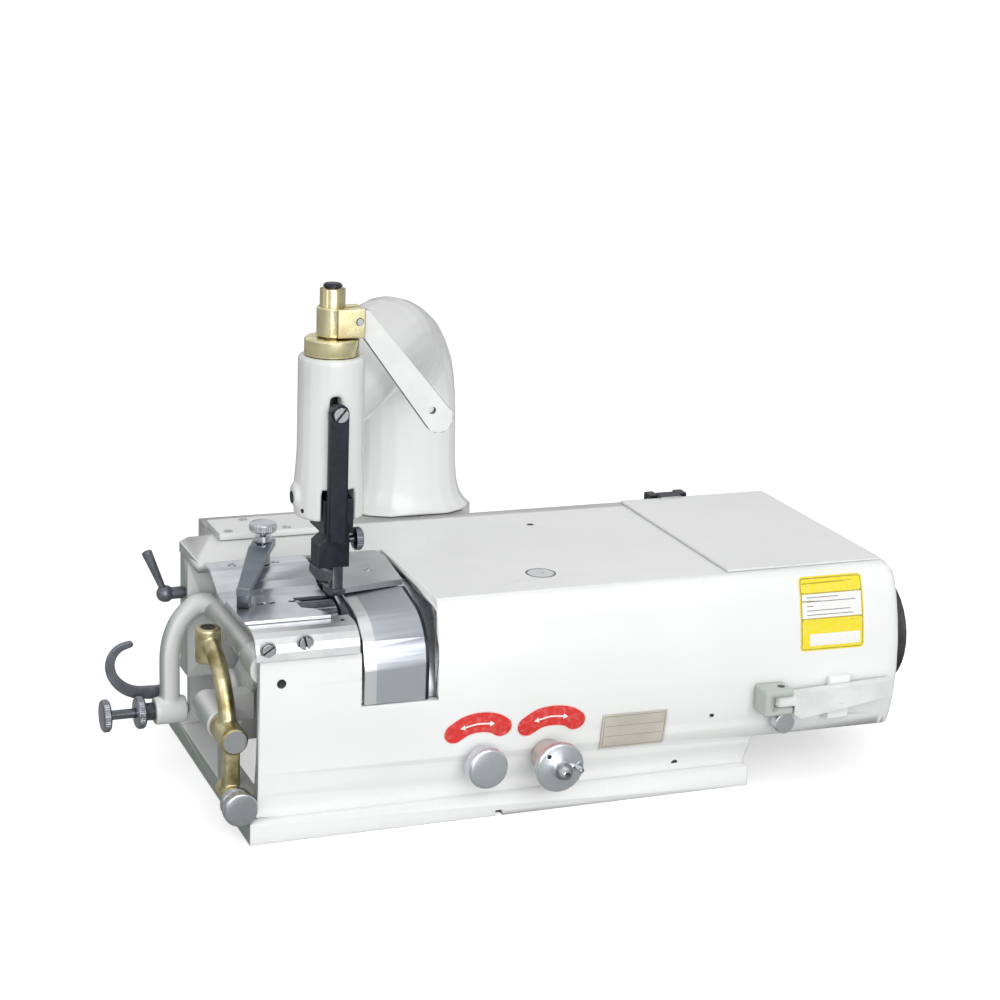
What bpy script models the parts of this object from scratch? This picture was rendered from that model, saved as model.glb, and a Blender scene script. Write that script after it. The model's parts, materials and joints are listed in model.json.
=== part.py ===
"""Leather skiving machine head, built as separate pieces.

Lengths are metres. Every place is measured from the front left bottom corner of the base
(X to the right along the body, Y to the back, Z up); ROW_ORIGIN then moves the whole
machine so that the origin is the middle of the base's underside.
"""
import math

import bmesh
import bpy
import numpy as np
from mathutils import Matrix, Vector

# Clearances and overlaps shared by all pieces
GAP = 0.0003
OVERRUN = 0.0010
MERGE = 0.000002
ROUND_SIDES = 20
SMALL_SIDES = 12
WHEEL_SIDES = 32

# Base flange
BASE_LENGTH = 0.350
BASE_DEPTH = 0.220
BASE_HEIGHT = 0.014
BASE_RIM_LEFT = 0.020
BASE_NOTCH_X = 0.168
BASE_NOTCH_WIDTH = 0.005
BASE_NOTCH_HEIGHT = 0.004

# Body of the casting
BODY_LEFT = 0.006
BODY_RIGHT = 0.455
BODY_FRONT = 0.008
BODY_BACK = 0.187
BODY_TOP = 0.1505
BODY_WALL = 0.007
BODY_BULGE_LEFT = 0.0065
BODY_BULGE_RIGHT = 0.020
BODY_END_ROUND = 0.009
BODY_END_FRONT_ROUND = 0.003
OVERHANG_BOTTOM = 0.036
OVERHANG_FILLET = 0.003
# How far the front face stands out, as a share of the bulge, against a share of the height
FACE_HEIGHT_SHARES = (0.0, 0.10, 0.20, 0.30, 0.42, 0.55, 0.68, 0.78, 0.88, 0.95, 0.985, 1.0)
FACE_BULGE_SHARES = (0.0, 0.05, 0.42, 0.74, 0.93, 1.0, 0.95, 0.82, 0.62, 0.42, 0.20, -0.10)

# Casting details
BACK_PAD_LEFT = 0.022
BACK_PAD_RIGHT = 0.211
BACK_PAD_BACK = 0.2195
CORBEL_BOTTOM = 0.0850
CORBEL_EDGE = 0.1250
CORBEL_FOOT_SHARE = 0.25
BLOCK_LEFT = -0.004
BLOCK_RIGHT = 0.064
BLOCK_FRONT = 0.150
BLOCK_CORNER_Y = 0.1695
BLOCK_CORNER_RUN = 0.0085
BLOCK_BOTTOM = 0.060
LAND_FRONT = 0.118
LAND_THICK = 0.0075
WEB_A_LEFT = 0.168
WEB_B_LEFT = 0.280
WEB_THICK = 0.014
TABLE_RIGHT = 0.1225
TABLE_WALL_TOP = 0.1210
GUARD_WINDOW_BOTTOM = 0.086
COVER_HOLE_MARGIN = 0.009
OIL_HOLE_X = 0.244
OIL_HOLE_Y = 0.149
OIL_HOLE_RADIUS = 0.0026
OIL_HOLE_DEPTH = 0.004
SIGHT_X = 0.208
SIGHT_Y = 0.042
SIGHT_RADIUS = 0.010
SIGHT_THICK = 0.0016
SIGHT_DIMPLE_RADIUS = 0.0022
SIGHT_DIMPLE_DEPTH = 0.0007

# Bell knife and its drive
KNIFE_Y = 0.069
KNIFE_Z = 0.0805
KNIFE_LEFT = 0.070
KNIFE_RADIUS = 0.0645
KNIFE_LENGTH = 0.070
KNIFE_WALL = 0.0020
KNIFE_BACK_THICK = 0.003
KNIFE_BEVEL = 0.005
KNIFE_CORNER = 0.004
KNIFE_RELIEF = 0.0015
KNIFE_SHAFT_RADIUS = 0.009
KNIFE_SHAFT_NOSE = 0.008
KNIFE_FLANGE_RADIUS = 0.026
KNIFE_FLANGE_THICK = 0.005
QUILL_GAP = 0.0007
QUILL_LENGTH = 0.152
QUILL_RADIUS = 0.027
QUILL_BORE = 0.022
BEARING_WIDTH = 0.014
BEARING_INSET = 0.002
PULLEY_RADIUS = 0.040
PULLEY_WIDTH = 0.022
PULLEY_GROOVE = 0.006
PULLEY_RIM = 0.003
PULLEY_HUB_RADIUS = 0.016
PULLEY_WEB_THICK = 0.006
PULLEY_OFFSET = 0.0085
KNIFE_TRAVEL = 0.005

# Knobs on the front face, with pinions that move racks under the sliding sleeves
KNOB_Z = 0.040
KNOB_SHAFT_RADIUS = 0.003
PINION_TEETH = 10
TOOTH_MODULE = 0.001
TOOTH_TIP = 0.0008
TOOTH_ROOT = 0.0012
TOOTH_SHARE = 0.36
TOOTH_SLOPE = math.tan(math.radians(20.0))
PINION_WIDTH = 0.008
RACK_TEETH_BEFORE = 1
RACK_TEETH_AFTER = 6
KNIFE_KNOB_X = 0.1535
KNIFE_KNOB_RADIUS = 0.0135
KNIFE_KNOB_THICK = 0.010
KNIFE_KNOB_STAND = 0.0045
KNIFE_KNOB_RIM = 0.0012
KNIFE_SHAFT_END = 0.078
STONE_KNOB_X = 0.199
STONE_BARREL_RADIUS = 0.011
STONE_BARREL_LENGTH = 0.018
STONE_KNOB_RADIUS = 0.0165
STONE_KNOB_THICK = 0.006
STONE_KNOB_HUB_RADIUS = 0.006
STONE_KNOB_HUB_LENGTH = 0.005
STONE_KNOB_TIP_LENGTH = 0.006
STONE_KNOB_TIP_RADIUS = 0.0036
STONE_PIN_RADIUS = 0.0018
STONE_PIN_REACH = 0.0115
STONE_PIN_LENGTH = 0.007
STONE_PINION_Y = 0.100

# Grinding stone
STONE_Y = 0.150
STONE_Z = 0.0645
STONE_LEFT = 0.072
STONE_WIDTH = 0.016
STONE_RADIUS = 0.0175
STONE_SPINDLE_RADIUS = 0.006
STONE_SPINDLE_NOSE = 0.005
STONE_SPINDLE_RIGHT = 0.352
CARRIAGE_LEFT = 0.100
CARRIAGE_RIGHT = 0.306
CARRIAGE_RADIUS = 0.013
CARRIAGE_ARM_WIDTH = 0.018
CARRIAGE_ARM_DROP = 0.0145
CARRIAGE_ARM_THICK = 0.0075
STONE_PULLEY_LEFT = 0.330
STONE_PULLEY_WIDTH = 0.018
STONE_PULLEY_RADIUS = 0.014

# Feed drive: shaft, belt and roller
FEED_Y = 0.130
FEED_Z = 0.039
FEED_SHAFT_RADIUS = 0.005
FEED_SHAFT_LEFT = 0.0185
FEED_SHAFT_RIGHT = 0.453
FEED_WHEEL_RADIUS = 0.014
FEED_PULLEY_LEFT = 0.425
FEED_PULLEY_WIDTH = 0.016
FEED_PULLEY_RADIUS = 0.022
ROLLER_Y = 0.050
ROLLER_Z = 0.1285
ROLLER_LEFT = 0.044
ROLLER_LENGTH = 0.0235
ROLLER_RADIUS = 0.0125
ROLLER_GROOVES = 24
ROLLER_LAND_SHARE = 0.25
ROLLER_GROOVE_DEPTH = 0.0004
ROLLER_SHAFT_RADIUS = 0.0035
ROLLER_SHAFT_LEFT = 0.0200
ROLLER_WHEEL_RADIUS = 0.0060
BELT_THICK = 0.0018
BELT_LEFT = 0.0275
BELT_WIDTH = 0.0095
CASE_LEFT = 0.022
CASE_RIGHT = 0.040
CASE_SKIN = 0.0022
CASE_BOSS_LENGTH = 0.0025
CASE_BOSS_SKIN = 0.0030
BARREL_Y = 0.116
BARREL_Z = 0.060
BARREL_RADIUS = 0.0148
BARREL_LEFT = 0.010
BARREL_ROUND = 0.006
PIVOT_X = -0.0050
PIVOT_Z = 0.0630
PIVOT_RADIUS = 0.0100
PIVOT_FRONT = 0.050
PIVOT_BACK = 0.090
PEDESTAL_RIGHT = 0.009
PEDESTAL_FRONT = 0.066
PEDESTAL_WIDTH = 0.014
LINK_FRONT = 0.078
LINK_BACK = 0.092
LINK_BOTTOM = 0.053
LINK_TOP = 0.072

# Table bracket and plates
BRACKET_LEFT = 0.008
BRACKET_RAIL = 0.0105
BRACKET_RIGHT = 0.0690
BRACKET_BOTTOM = 0.1280
BRACKET_TOP = 0.1372
BRACKET_FRONT = 0.0110
BRACKET_FRONT_DEPTH = 0.010
BRACKET_FOOT_FRONT = 0.003
BRACKET_STEP_FRONT = 0.1055
BRACKET_FOOT_LEFT = 0.0235
BRACKET_BACK_FRONT = 0.079
SHELF_BOTTOM = 0.1330
SHELF_DEPTH = 0.0065
PLATE_THICK = 0.0022
FRONT_PLATE_LEFT = 0.0025
FRONT_PLATE_RIGHT = 0.0695
FRONT_PLATE_BOTTOM = 0.1222
FRONT_PLATE_FACE = -0.0015
FRONT_PLATE_RUN = 0.0165
GUIDE_PLATE_LEFT = 0.0005
GUIDE_PLATE_RIGHT = 0.0578
GUIDE_PLATE_FRONT = 0.0200
GUIDE_PLATE_BACK = 0.0640
GUIDE_PLATE_TOP = 0.1418
GUIDE_SLOT_Y = 0.0520
GUIDE_SLOT_XS = (0.0190, 0.0400)
GUIDE_SLOT_LENGTH = 0.009
GUIDE_SLOT_RADIUS = 0.0018
BACK_PLATE_LEFT = 0.0
BACK_PLATE_RIGHT = 0.0675
BACK_PLATE_FRONT = 0.0646
BACK_PLATE_RISE = 0.0108
COVER_PLATE_LEFT = 0.0710
COVER_PLATE_RIGHT = 0.1205
COVER_PLATE_FRONT = 0.0450
COVER_PLATE_BACK = 0.1176
COVER_PLATE_THICK = 0.0040
GUARD_LEFT = 0.0735
GUARD_RIGHT = 0.1165
GUARD_SKIN = 0.0018
GUARD_BOTTOM = 0.0865
GUARD_FACE = 0.0003
GUARD_CORNER = 0.033
GUARD_BACK = 0.052
GUARD_BACK_Z = 0.1459
GUARD_TANGENT_Z = 0.1405
REAR_PLATE_LEFT = 0.0220
REAR_PLATE_RIGHT = 0.0955
REAR_PLATE_FRONT = 0.162
REAR_PLATE_BACK = 0.198
REAR_PLATE_THICK = 0.005

# Arm with the presser post
POST_X = 0.064
POST_Y = 0.052
POST_RADIUS = 0.021
POST_BOTTOM = 0.1985
POST_TOP = 0.302
POST_FLARE = 0.0015
POST_SLOT_WIDTH = 0.021
POST_SLOT_TOP = 0.2195
POST_SLOT_BACK = 0.014
POST_NOTCH_WIDTH = 0.0070
POST_NOTCH_BELOW = 0.0060
POST_NOTCH_ABOVE = 0.0090
POST_CLAMP_REACH = 0.0245
POST_CLAMP_RADIUS = 0.0075
POST_CLAMP_Z = 0.2125
COLUMN_X = 0.1745
COLUMN_Y = 0.230
COLUMN_FOOT_RADIUS = 0.052
COLUMN_FOOT_RISE = 0.016
COLUMN_FOOT_SLOPE_SHARE = 0.30
ARM_BACK_SHARE = 0.75
COLUMN_RADIUS = 0.0365
ARM_SIDES = 20
# The arm's centre line: shares of the way from column to post, share of the arm's rise, radius share
ARM_CROWN_DROP = 0.0222
ARM_SHARES = (
    (0.000, 0.000, 1.34), (0.000, 0.020, 1.25), (0.000, 0.060, 1.14), (0.000, 0.130, 1.05),
    (0.000, 0.260, 1.00), (0.000, 0.440, 0.985), (0.015, 0.620, 0.98), (0.060, 0.780, 0.98),
    (0.150, 0.910, 0.96), (0.280, 0.985, 0.91), (0.440, 1.000, 0.84), (0.620, 0.975, 0.76),
    (0.800, 0.935, 0.68), (1.000, 0.900, 0.50))

# Presser bar and what it carries
BAR_RADIUS = 0.008
BAR_STAND = 0.0415
BAR_TOP = POST_TOP + BAR_STAND
BAR_CAP_RADIUS = 0.006
BAR_CAP_HEIGHT = 0.0030
SHOULDER_RADIUS = 0.0118
SHOULDER_DROP = 0.0185
SHOULDER_Z = POST_TOP - SHOULDER_DROP
SHOULDER_THICK = 0.002
SPRING_CAVITY_RADIUS = 0.0128
SPRING_CAVITY_BOTTOM = SHOULDER_Z - OVERRUN
COLLAR_RADIUS = 0.0172
COLLAR_STAND = 0.0110
COLLAR_TOP = POST_TOP + COLLAR_STAND
COLLAR_CEILING = 0.0018
COLLAR_SPIGOT_RADIUS = 0.0150
COLLAR_SPIGOT_LENGTH = 0.012
COLLAR_HOLE_RADIUS = 0.0014
COLLAR_HOLE_REACH = 0.0140
COLLAR_HOLE_DEPTH = 0.0030
SPRING_RADIUS = 0.0103
SPRING_WIRE = 0.0009
SPRING_TURNS = 6
SPRING_POINTS = 10
SPRING_SIDES = 5
LIFTER_BLOCK_STAND = GAP
LIFTER_BLOCK_BOTTOM = COLLAR_TOP + LIFTER_BLOCK_STAND
LIFTER_BLOCK_HEIGHT = 0.0192
LIFTER_BLOCK_TOP = LIFTER_BLOCK_BOTTOM + LIFTER_BLOCK_HEIGHT
LIFTER_RING_RADIUS = 0.0098
LIFTER_PIN_X = 0.0783
LIFTER_PIN_RISE = 0.0107
LIFTER_PIN_Z = LIFTER_BLOCK_BOTTOM + LIFTER_PIN_RISE
LIFTER_PIN_RADIUS = 0.0022
LIFTER_BLOCK_RIGHT = 0.0822
LIFTER_CHEEK_OUTER = 0.0400
LIFTER_CHEEK_WIDTH = 0.0180
LIFTER_SLOT_FRONT = 0.0465
LIFTER_SLOT_WIDTH = 0.0052
LIFTER_SLOT_LEFT = 0.0735
LEVER_THICK = 0.0045
LEVER_HEAD_RADIUS = 0.0050
LEVER_HEEL_RADIUS = 0.0065
LEVER_HEEL_X = 0.0040
LEVER_HEEL_Z = 0.0005
LEVER_END_X = 0.1350
LEVER_DROP = 0.0660
LEVER_HOLE_SHARE = 0.915
LEVER_END_Z = LIFTER_PIN_Z - LEVER_DROP
LEVER_END_RADIUS = 0.0095
LEVER_HOLE_RADIUS = 0.0025

# Hanger, foot holder and foot
HANGER_X = 0.0615
HANGER_WIDTH = 0.012
HANGER_THICK = 0.005
HANGER_SCREW_DROP = 0.0320
HANGER_SCREW_Z = POST_TOP - HANGER_SCREW_DROP
HANGER_SCREW_RADIUS = 0.0025
HANGER_SCREW_HEAD = 0.0047
HANGER_SCREW_HEAD_THICK = 0.0022
HANGER_BOTTOM = 0.1920
GUIDE_BLOCK_BOTTOM = 0.1910
GUIDE_BLOCK_TOP = 0.2130
GUIDE_BLOCK_WIDTH = 0.0195
GUIDE_BLOCK_BACK = 0.060
HOLDER_LEFT = 0.0505
HOLDER_RIGHT = 0.0705
HOLDER_SHOULDER = 0.1850
HOLDER_NECK_Z = 0.1895
HOLDER_BOTTOM = 0.1700
HOLDER_FRONT = 0.0290
HOLDER_BACK = 0.0450
HOLDER_NECK_LEFT = 0.0560
FOOT_SCREW_Z = 0.1850
FOOT_SCREW_Y = 0.0380
FOOT_SCREW_SHANK = 0.0024
FOOT_SCREW_LENGTH = 0.0100
FOOT_SCREW_RADIUS = 0.00725
FOOT_SCREW_THICK = 0.0055
FOOT_LEFT = 0.0610
FOOT_RIGHT = 0.0690
FOOT_FRONT = 0.0290
FOOT_BACK = 0.0520
FOOT_BOTTOM = 0.1480
FOOT_SOLE_THICK = 0.0035
FOOT_TOE_RISE = 0.005
FOOT_NECK_LEFT = 0.0620
FOOT_NECK_RIGHT = 0.0685
FOOT_NECK_FRONT = 0.0340
FOOT_NECK_BACK = 0.0430
FOOT_SOCKET_DEPTH = 0.007
FOOT_NUT_X = 0.0560
FOOT_NUT_Z = 0.1665
FOOT_NUT_RADIUS = 0.0073

# Swing frame at the left end
SWING_X = 0.0132
SWING_Z = 0.1120
SWING_HUB_RADIUS = 0.0085
SWING_NOSE_RADIUS = 0.0110
SWING_NOSE_FRONT = 0.0125
SWING_NOSE_BACK = 0.0365
SWING_TUBE_RADIUS = 0.0070
SWING_TUBE_X = -0.0175
SWING_TUBE_Y = 0.1410
SWING_BOSS_Z = 0.0410
SWING_BOSS_RADIUS = 0.0095
SWING_BOSS_LENGTH = 0.022
SWING_PIN_RADIUS = 0.0050
SWING_PIN_FRONT = 0.0065
SWING_PIN_BACK = 0.1540
# The bent tube: shares of the way out to the upright, of the way back, and of the drop to the boss
SWING_PATH_SHARES = (
    (0.00, 0.00, 0.000), (0.18, 0.45, -0.060), (0.40, 0.80, -0.045), (0.62, 0.95, 0.030),
    (0.82, 1.00, 0.150), (0.95, 1.00, 0.300), (1.00, 1.00, 0.460), (1.00, 1.00, 0.700),
    (1.00, 1.00, 1.000))
TILT_SCREW_RADIUS = 0.0033
TILT_SCREW_LEFT = -0.0640
TILT_DISC_RADIUS = 0.0108
TILT_DISC_THICK = 0.0055
TILT_BUSH_RADIUS = 0.0060
LOCK_DISC_LEFT = -0.0410
LOCK_DISC_THICK = 0.0060
HOOK_Y = 0.1512
HOOK_THICK = 0.0035
HOOK_ROOT_HALF = 0.0048
HOOK_TIP_HALF = 0.0022
HOOK_PIVOT_X = -0.0175
HOOK_PIVOT_Z = 0.0500
HOOK_EYE_RADIUS = 0.0065
HOOK_PIN_RADIUS = 0.0025
# The hook's centre line from its eye: shares of its reach to the left and of its height
HOOK_REACH = 0.0380
HOOK_HEIGHT = 0.0360
HOOK_SHARES = (
    (0.00, 0.00), (0.30, 0.01), (0.58, 0.05), (0.80, 0.18), (0.95, 0.38), (1.00, 0.60),
    (0.95, 0.80), (0.82, 0.94), (0.64, 1.00))
BALL_LEVER_Y = 0.1580
BALL_LEVER_Z = 0.1180
BALL_X = -0.0165
BALL_RADIUS = 0.0060
BALL_STEM_RADIUS = 0.0030
BALL_COLLAR_RADIUS = 0.0042
BALL_STEM_DEPTH = 0.012
BALL_HANDLE_RISE = 0.0300
BALL_HANDLE_OUT = 0.0125
BALL_HANDLE_ROOT = 0.0020
BALL_HANDLE_TIP = 0.0036

# Brass lever and its knob
BRASS_FRONT = 0.0190
BRASS_RADIUS = 0.0090
BRASS_PIN_RADIUS = 0.0050
BRASS_PIN_DEPTH = 0.018
BRASS_HEAD_X = -0.0085
BRASS_HEAD_Y = 0.0740
BRASS_HEAD_BOTTOM = 0.0980
BRASS_HEAD_TOP = 0.1215
BRASS_HEAD_RADIUS = 0.0084
BRASS_ARM_RADIUS = 0.0056
BRASS_ARM_SHARES = (
    (0.00, 0.00, 0.00), (0.10, 0.06, 0.25), (0.25, 0.20, 0.50), (0.45, 0.42, 0.75),
    (0.75, 0.75, 0.93), (1.00, 1.00, 1.00))
BRASS_NECK_HALF = 0.0050
BRASS_NECK_FRONT = 0.0240
BRASS_NECK_BACK = 0.0350
BRASS_FOOT_Z = 0.0250
BRASS_FOOT_RADIUS = 0.0062
BRASS_FOOT_BACK = 0.0420
LEVER_KNOB_RADIUS = 0.0110
LEVER_KNOB_FRONT = -0.0015
LEVER_KNOB_THICK = 0.0080
LEVER_KNOB_COLLAR_RADIUS = 0.0105
LEVER_KNOB_COLLAR = 0.0030
LEVER_KNOB_GROOVE = 0.0025
LEVER_KNOB_GROOVE_RADIUS = 0.0085
LEVER_KNOB_SHANK = 0.0030
LEVER_KNOB_DEPTH = 0.030

# Edge guide on the table
GUIDE_X = 0.0370
GUIDE_Y = 0.1080
GUIDE_POST_RADIUS = 0.0050
GUIDE_POST_HEIGHT = 0.0100
GUIDE_ARM_THICK = 0.0045
GUIDE_ARM_HALF = 0.0070
GUIDE_ARM_END_HALF = 0.0042
GUIDE_ARM_OVERHANG = 0.0080
GUIDE_FLAT_LENGTH = 0.0220
GUIDE_END_X = 0.0085
GUIDE_END_Y = 0.0500
GUIDE_END_Z = 0.1500
GUIDE_END_BLOCK = 0.0090
GUIDE_ARM_SLOT_RADIUS = 0.0028
GUIDE_ARM_SLOT_LENGTH = 0.0160
GUIDE_SCREW_SHANK = 0.0024
GUIDE_NUT_RADIUS = 0.0055
GUIDE_NUT_HEIGHT = 0.0040
GUIDE_KNOB_RADIUS = 0.0090
GUIDE_KNOB_THICK = 0.0060
GUIDE_KNOB_LIFT = 0.0030

# Stone lever at the right
CLEVIS_LEFT = 0.3455
CLEVIS_RIGHT = 0.3670
CLEVIS_BOTTOM = 0.0590
CLEVIS_TOP = 0.0775
CLEVIS_OUT = 0.0170
CLEVIS_SLOT_BOTTOM = 0.0635
CLEVIS_SLOT_TOP = 0.0725
CLEVIS_SLOT_LEFT = 0.3520
CLEVIS_PIN_X = 0.3605
CLEVIS_PIN_OUT = 0.0095
CLEVIS_PIN_RADIUS = 0.0022
STONE_LEVER_END_X = 0.4455
STONE_LEVER_ROOT_Z = 0.0595
STONE_LEVER_END_Z = 0.0690
STONE_LEVER_HALF = 0.0058
STONE_LEVER_THICK = 0.0075
LEVER_ROLLER_X = 0.3660
LEVER_ROLLER_Z = 0.0500
LEVER_ROLLER_RADIUS = 0.0072
LEVER_ROLLER_THICK = 0.0075
LEVER_ROLLER_STAND = 0.0035
LEVER_ROLLER_PIN = 0.0025
LEVER_ROLLER_PIN_DEPTH = 0.0030
STOP_LEFT = 0.4000
STOP_WIDTH = 0.0165
STOP_BOTTOM = 0.0480
STOP_HEIGHT = 0.0305
STOP_OUT = 0.0040

# Top cover and its hinge
COVER_LEFT = 0.330
COVER_RIGHT = 0.4465
COVER_FRONT = 0.011
COVER_BACK = 0.184
COVER_THICK = 0.0016
COVER_PIN_Y = 0.1920
COVER_PIN_Z = 0.1512
COVER_PIN_RADIUS = 0.0015
COVER_KNUCKLE_RADIUS = 0.0028
COVER_KNUCKLE_LEFT = 0.3620
COVER_KNUCKLE_WIDTH = 0.0160
HINGE_LEFT = 0.3550
HINGE_WIDTH = 0.0300
HINGE_DEPTH = 0.0100
HINGE_BOTTOM = 0.1400

# Data plate
NAME_PLATE_LEFT = 0.2370
NAME_PLATE_WIDTH = 0.0460
NAME_PLATE_BOTTOM = 0.0395
NAME_PLATE_HEIGHT = 0.0250
NAME_PLATE_THICK = 0.0008
NAME_PLATE_STEPS = 6

ROW_ORIGIN = Vector((BASE_LENGTH / 2, BASE_DEPTH / 2, 0.0))

# Finishes: colour, roughness, metallic
FINISHES = {
    "enamel": ((0.86, 0.88, 0.86), 0.30, 0.0),
    "polished_steel": ((0.72, 0.74, 0.78), 0.16, 1.0),
    "steel": ((0.55, 0.56, 0.58), 0.30, 1.0),
    "dark_steel": ((0.22, 0.23, 0.26), 0.40, 1.0),
    "black_steel": ((0.05, 0.06, 0.07), 0.38, 0.6),
    "brass": ((0.78, 0.62, 0.30), 0.28, 1.0),
    "stone": ((0.62, 0.42, 0.36), 0.90, 0.0),
    "rubber": ((0.04, 0.04, 0.04), 0.80, 0.0),
    "cast_black": ((0.03, 0.03, 0.035), 0.45, 0.0),
}


def clear_scene():
    for item in list(bpy.data.objects):
        bpy.data.objects.remove(item)


def make_material(name):
    colour, roughness, metallic = FINISHES[name]
    material = bpy.data.materials.get(name)
    if material is None:
        material = bpy.data.materials.new(name)
        material.use_nodes = True
        shader = material.node_tree.nodes["Principled BSDF"]
        shader.inputs["Base Color"].default_value = (*colour, 1.0)
        shader.inputs["Roughness"].default_value = roughness
        shader.inputs["Metallic"].default_value = metallic
        material.diffuse_color = (*colour, 1.0)
    return material


def as_object(mesh_builder, name="shape"):
    bmesh.ops.remove_doubles(mesh_builder, verts=mesh_builder.verts, dist=MERGE)
    bmesh.ops.recalc_face_normals(mesh_builder, faces=mesh_builder.faces)
    mesh = bpy.data.meshes.new(name)
    mesh_builder.to_mesh(mesh)
    mesh_builder.free()
    item = bpy.data.objects.new(name, mesh)
    bpy.context.scene.collection.objects.link(item)
    return item


def box(low, high, round_edges=0.0):
    """A block between two corners, its edges rounded if asked."""
    low = Vector(low)
    high = Vector(high)
    builder = bmesh.new()
    bmesh.ops.create_cube(builder, size=1.0)
    bmesh.ops.scale(builder, vec=high - low, verts=builder.verts)
    bmesh.ops.translate(builder, vec=(low + high) / 2, verts=builder.verts)
    if round_edges:
        bmesh.ops.bevel(builder, geom=builder.edges[:], offset=round_edges, offset_type='OFFSET',
                        segments=2, profile=0.5, affect='EDGES', material=-1)
    return as_object(builder)


def turned(start, axis, profile, sides=ROUND_SIDES):
    """A shape turned about an axis through start; the profile holds (distance along, radius)."""
    builder = bmesh.new()
    points = [builder.verts.new((radius, 0.0, along)) for along, radius in profile]
    pairs = list(zip(points, points[1:]))
    if profile[0][1] > 0.0:
        pairs.append((points[-1], points[0]))
    lines = [builder.edges.new(pair) for pair in pairs]
    bmesh.ops.spin(builder, geom=points + lines, cent=(0, 0, 0), axis=(0, 0, 1),
                   angle=2 * math.pi, steps=sides, use_merge=True)
    bmesh.ops.remove_doubles(builder, verts=builder.verts, dist=MERGE)
    turn = Vector((0, 0, 1)).rotation_difference(Vector(axis)).to_matrix().to_4x4()
    bmesh.ops.transform(builder, matrix=Matrix.Translation(Vector(start)) @ turn,
                        verts=builder.verts)
    return as_object(builder)


def rod(start, end, radius, end_radius=None, sides=ROUND_SIDES, chamfer=0.0):
    """A solid cylinder or cone from start to end, with its two rims chamfered if asked."""
    end_radius = radius if end_radius is None else end_radius
    start = Vector(start)
    along = Vector(end) - start
    length = along.length
    profile = [(0.0, 0.0), (0.0, radius - chamfer)]
    if chamfer:
        profile += [(chamfer, radius), (length - chamfer, end_radius)]
    profile += [(length, end_radius - chamfer), (length, 0.0)]
    return turned(start, along.normalized(), profile, sides)


def ring(start, axis, length, radius, bore, sides=ROUND_SIDES, chamfer=0.0):
    """A tube of the given length, with its two outer rims chamfered if asked."""
    profile = [(0.0, bore), (0.0, radius - chamfer)]
    if chamfer:
        profile += [(chamfer, radius), (length - chamfer, radius)]
    profile += [(length, radius - chamfer), (length, bore)]
    return turned(start, axis, profile, sides)


def extruded(outline, axis, low, high):
    """An outline (two coordinates a point) pushed along X, Y or Z from low to high."""
    builder = bmesh.new()
    if axis == "X":
        corners = [builder.verts.new((low, a, b)) for a, b in outline]
        push = Vector((high - low, 0, 0))
    elif axis == "Y":
        corners = [builder.verts.new((a, low, b)) for a, b in outline]
        push = Vector((0, high - low, 0))
    else:
        corners = [builder.verts.new((a, b, low)) for a, b in outline]
        push = Vector((0, 0, high - low))
    face = builder.faces.new(corners)
    pushed = bmesh.ops.extrude_face_region(builder, geom=[face])
    moved = [item for item in pushed["geom"] if isinstance(item, bmesh.types.BMVert)]
    bmesh.ops.translate(builder, vec=push, verts=moved)
    return as_object(builder)


def lofted(rings):
    """A closed skin through rings that have the same number of points."""
    builder = bmesh.new()
    loops = [[builder.verts.new(point) for point in one] for one in rings]
    for lower, upper in zip(loops, loops[1:]):
        count = len(lower)
        for index in range(count):
            after = (index + 1) % count
            builder.faces.new((lower[index], lower[after], upper[after], upper[index]))
    builder.faces.new(loops[0])
    builder.faces.new(loops[-1])
    bmesh.ops.triangulate(builder, faces=builder.faces)
    return as_object(builder)


def swept(points, radii, sides=ROUND_SIDES):
    """A round bar along a smooth line of points, with a radius at each."""
    points = [Vector(point) for point in points]
    rings = []
    side = None
    for index, point in enumerate(points):
        before = points[max(index - 1, 0)]
        after = points[min(index + 1, len(points) - 1)]
        along = (after - before).normalized()
        if side is None:
            side = along.orthogonal().normalized()
        side = (side - along * side.dot(along)).normalized()
        other = along.cross(side)
        turns = [2 * math.pi * step / sides for step in range(sides)]
        rings.append([point + (side * math.cos(turn) + other * math.sin(turn)) * radii[index]
                      for turn in turns])
    return lofted(rings)


def smooth_line(points, steps):
    """Points along a Catmull-Rom curve through the given points."""
    points = [Vector(point) for point in points]
    line = []
    for index in range(len(points) - 1):
        first = points[max(index - 1, 0)]
        start = points[index]
        end = points[index + 1]
        last = points[min(index + 2, len(points) - 1)]
        for step in range(steps):
            t = step / steps
            line.append(0.5 * (2 * start + (end - first) * t
                               + (2 * first - 5 * start + 4 * end - last) * t ** 2
                               + (3 * start - first - 3 * end + last) * t ** 3))
    line.append(points[-1])
    return line


def hull_of_circles(first, first_radius, second, second_radius, steps=8):
    """Outline of a bar with round ends of two radii."""
    ax, ay = first
    bx, by = second
    length = math.hypot(bx - ax, by - ay)
    heading = math.atan2(by - ay, bx - ax)
    lean = math.asin((first_radius - second_radius) / length)
    outline = []
    for step in range(steps + 1):
        turn = heading - math.pi / 2 + lean + (math.pi - 2 * lean) * step / steps
        outline.append((bx + second_radius * math.cos(turn), by + second_radius * math.sin(turn)))
    for step in range(steps + 1):
        turn = heading + math.pi / 2 - lean + (math.pi + 2 * lean) * step / steps
        outline.append((ax + first_radius * math.cos(turn), ay + first_radius * math.sin(turn)))
    return outline


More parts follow.
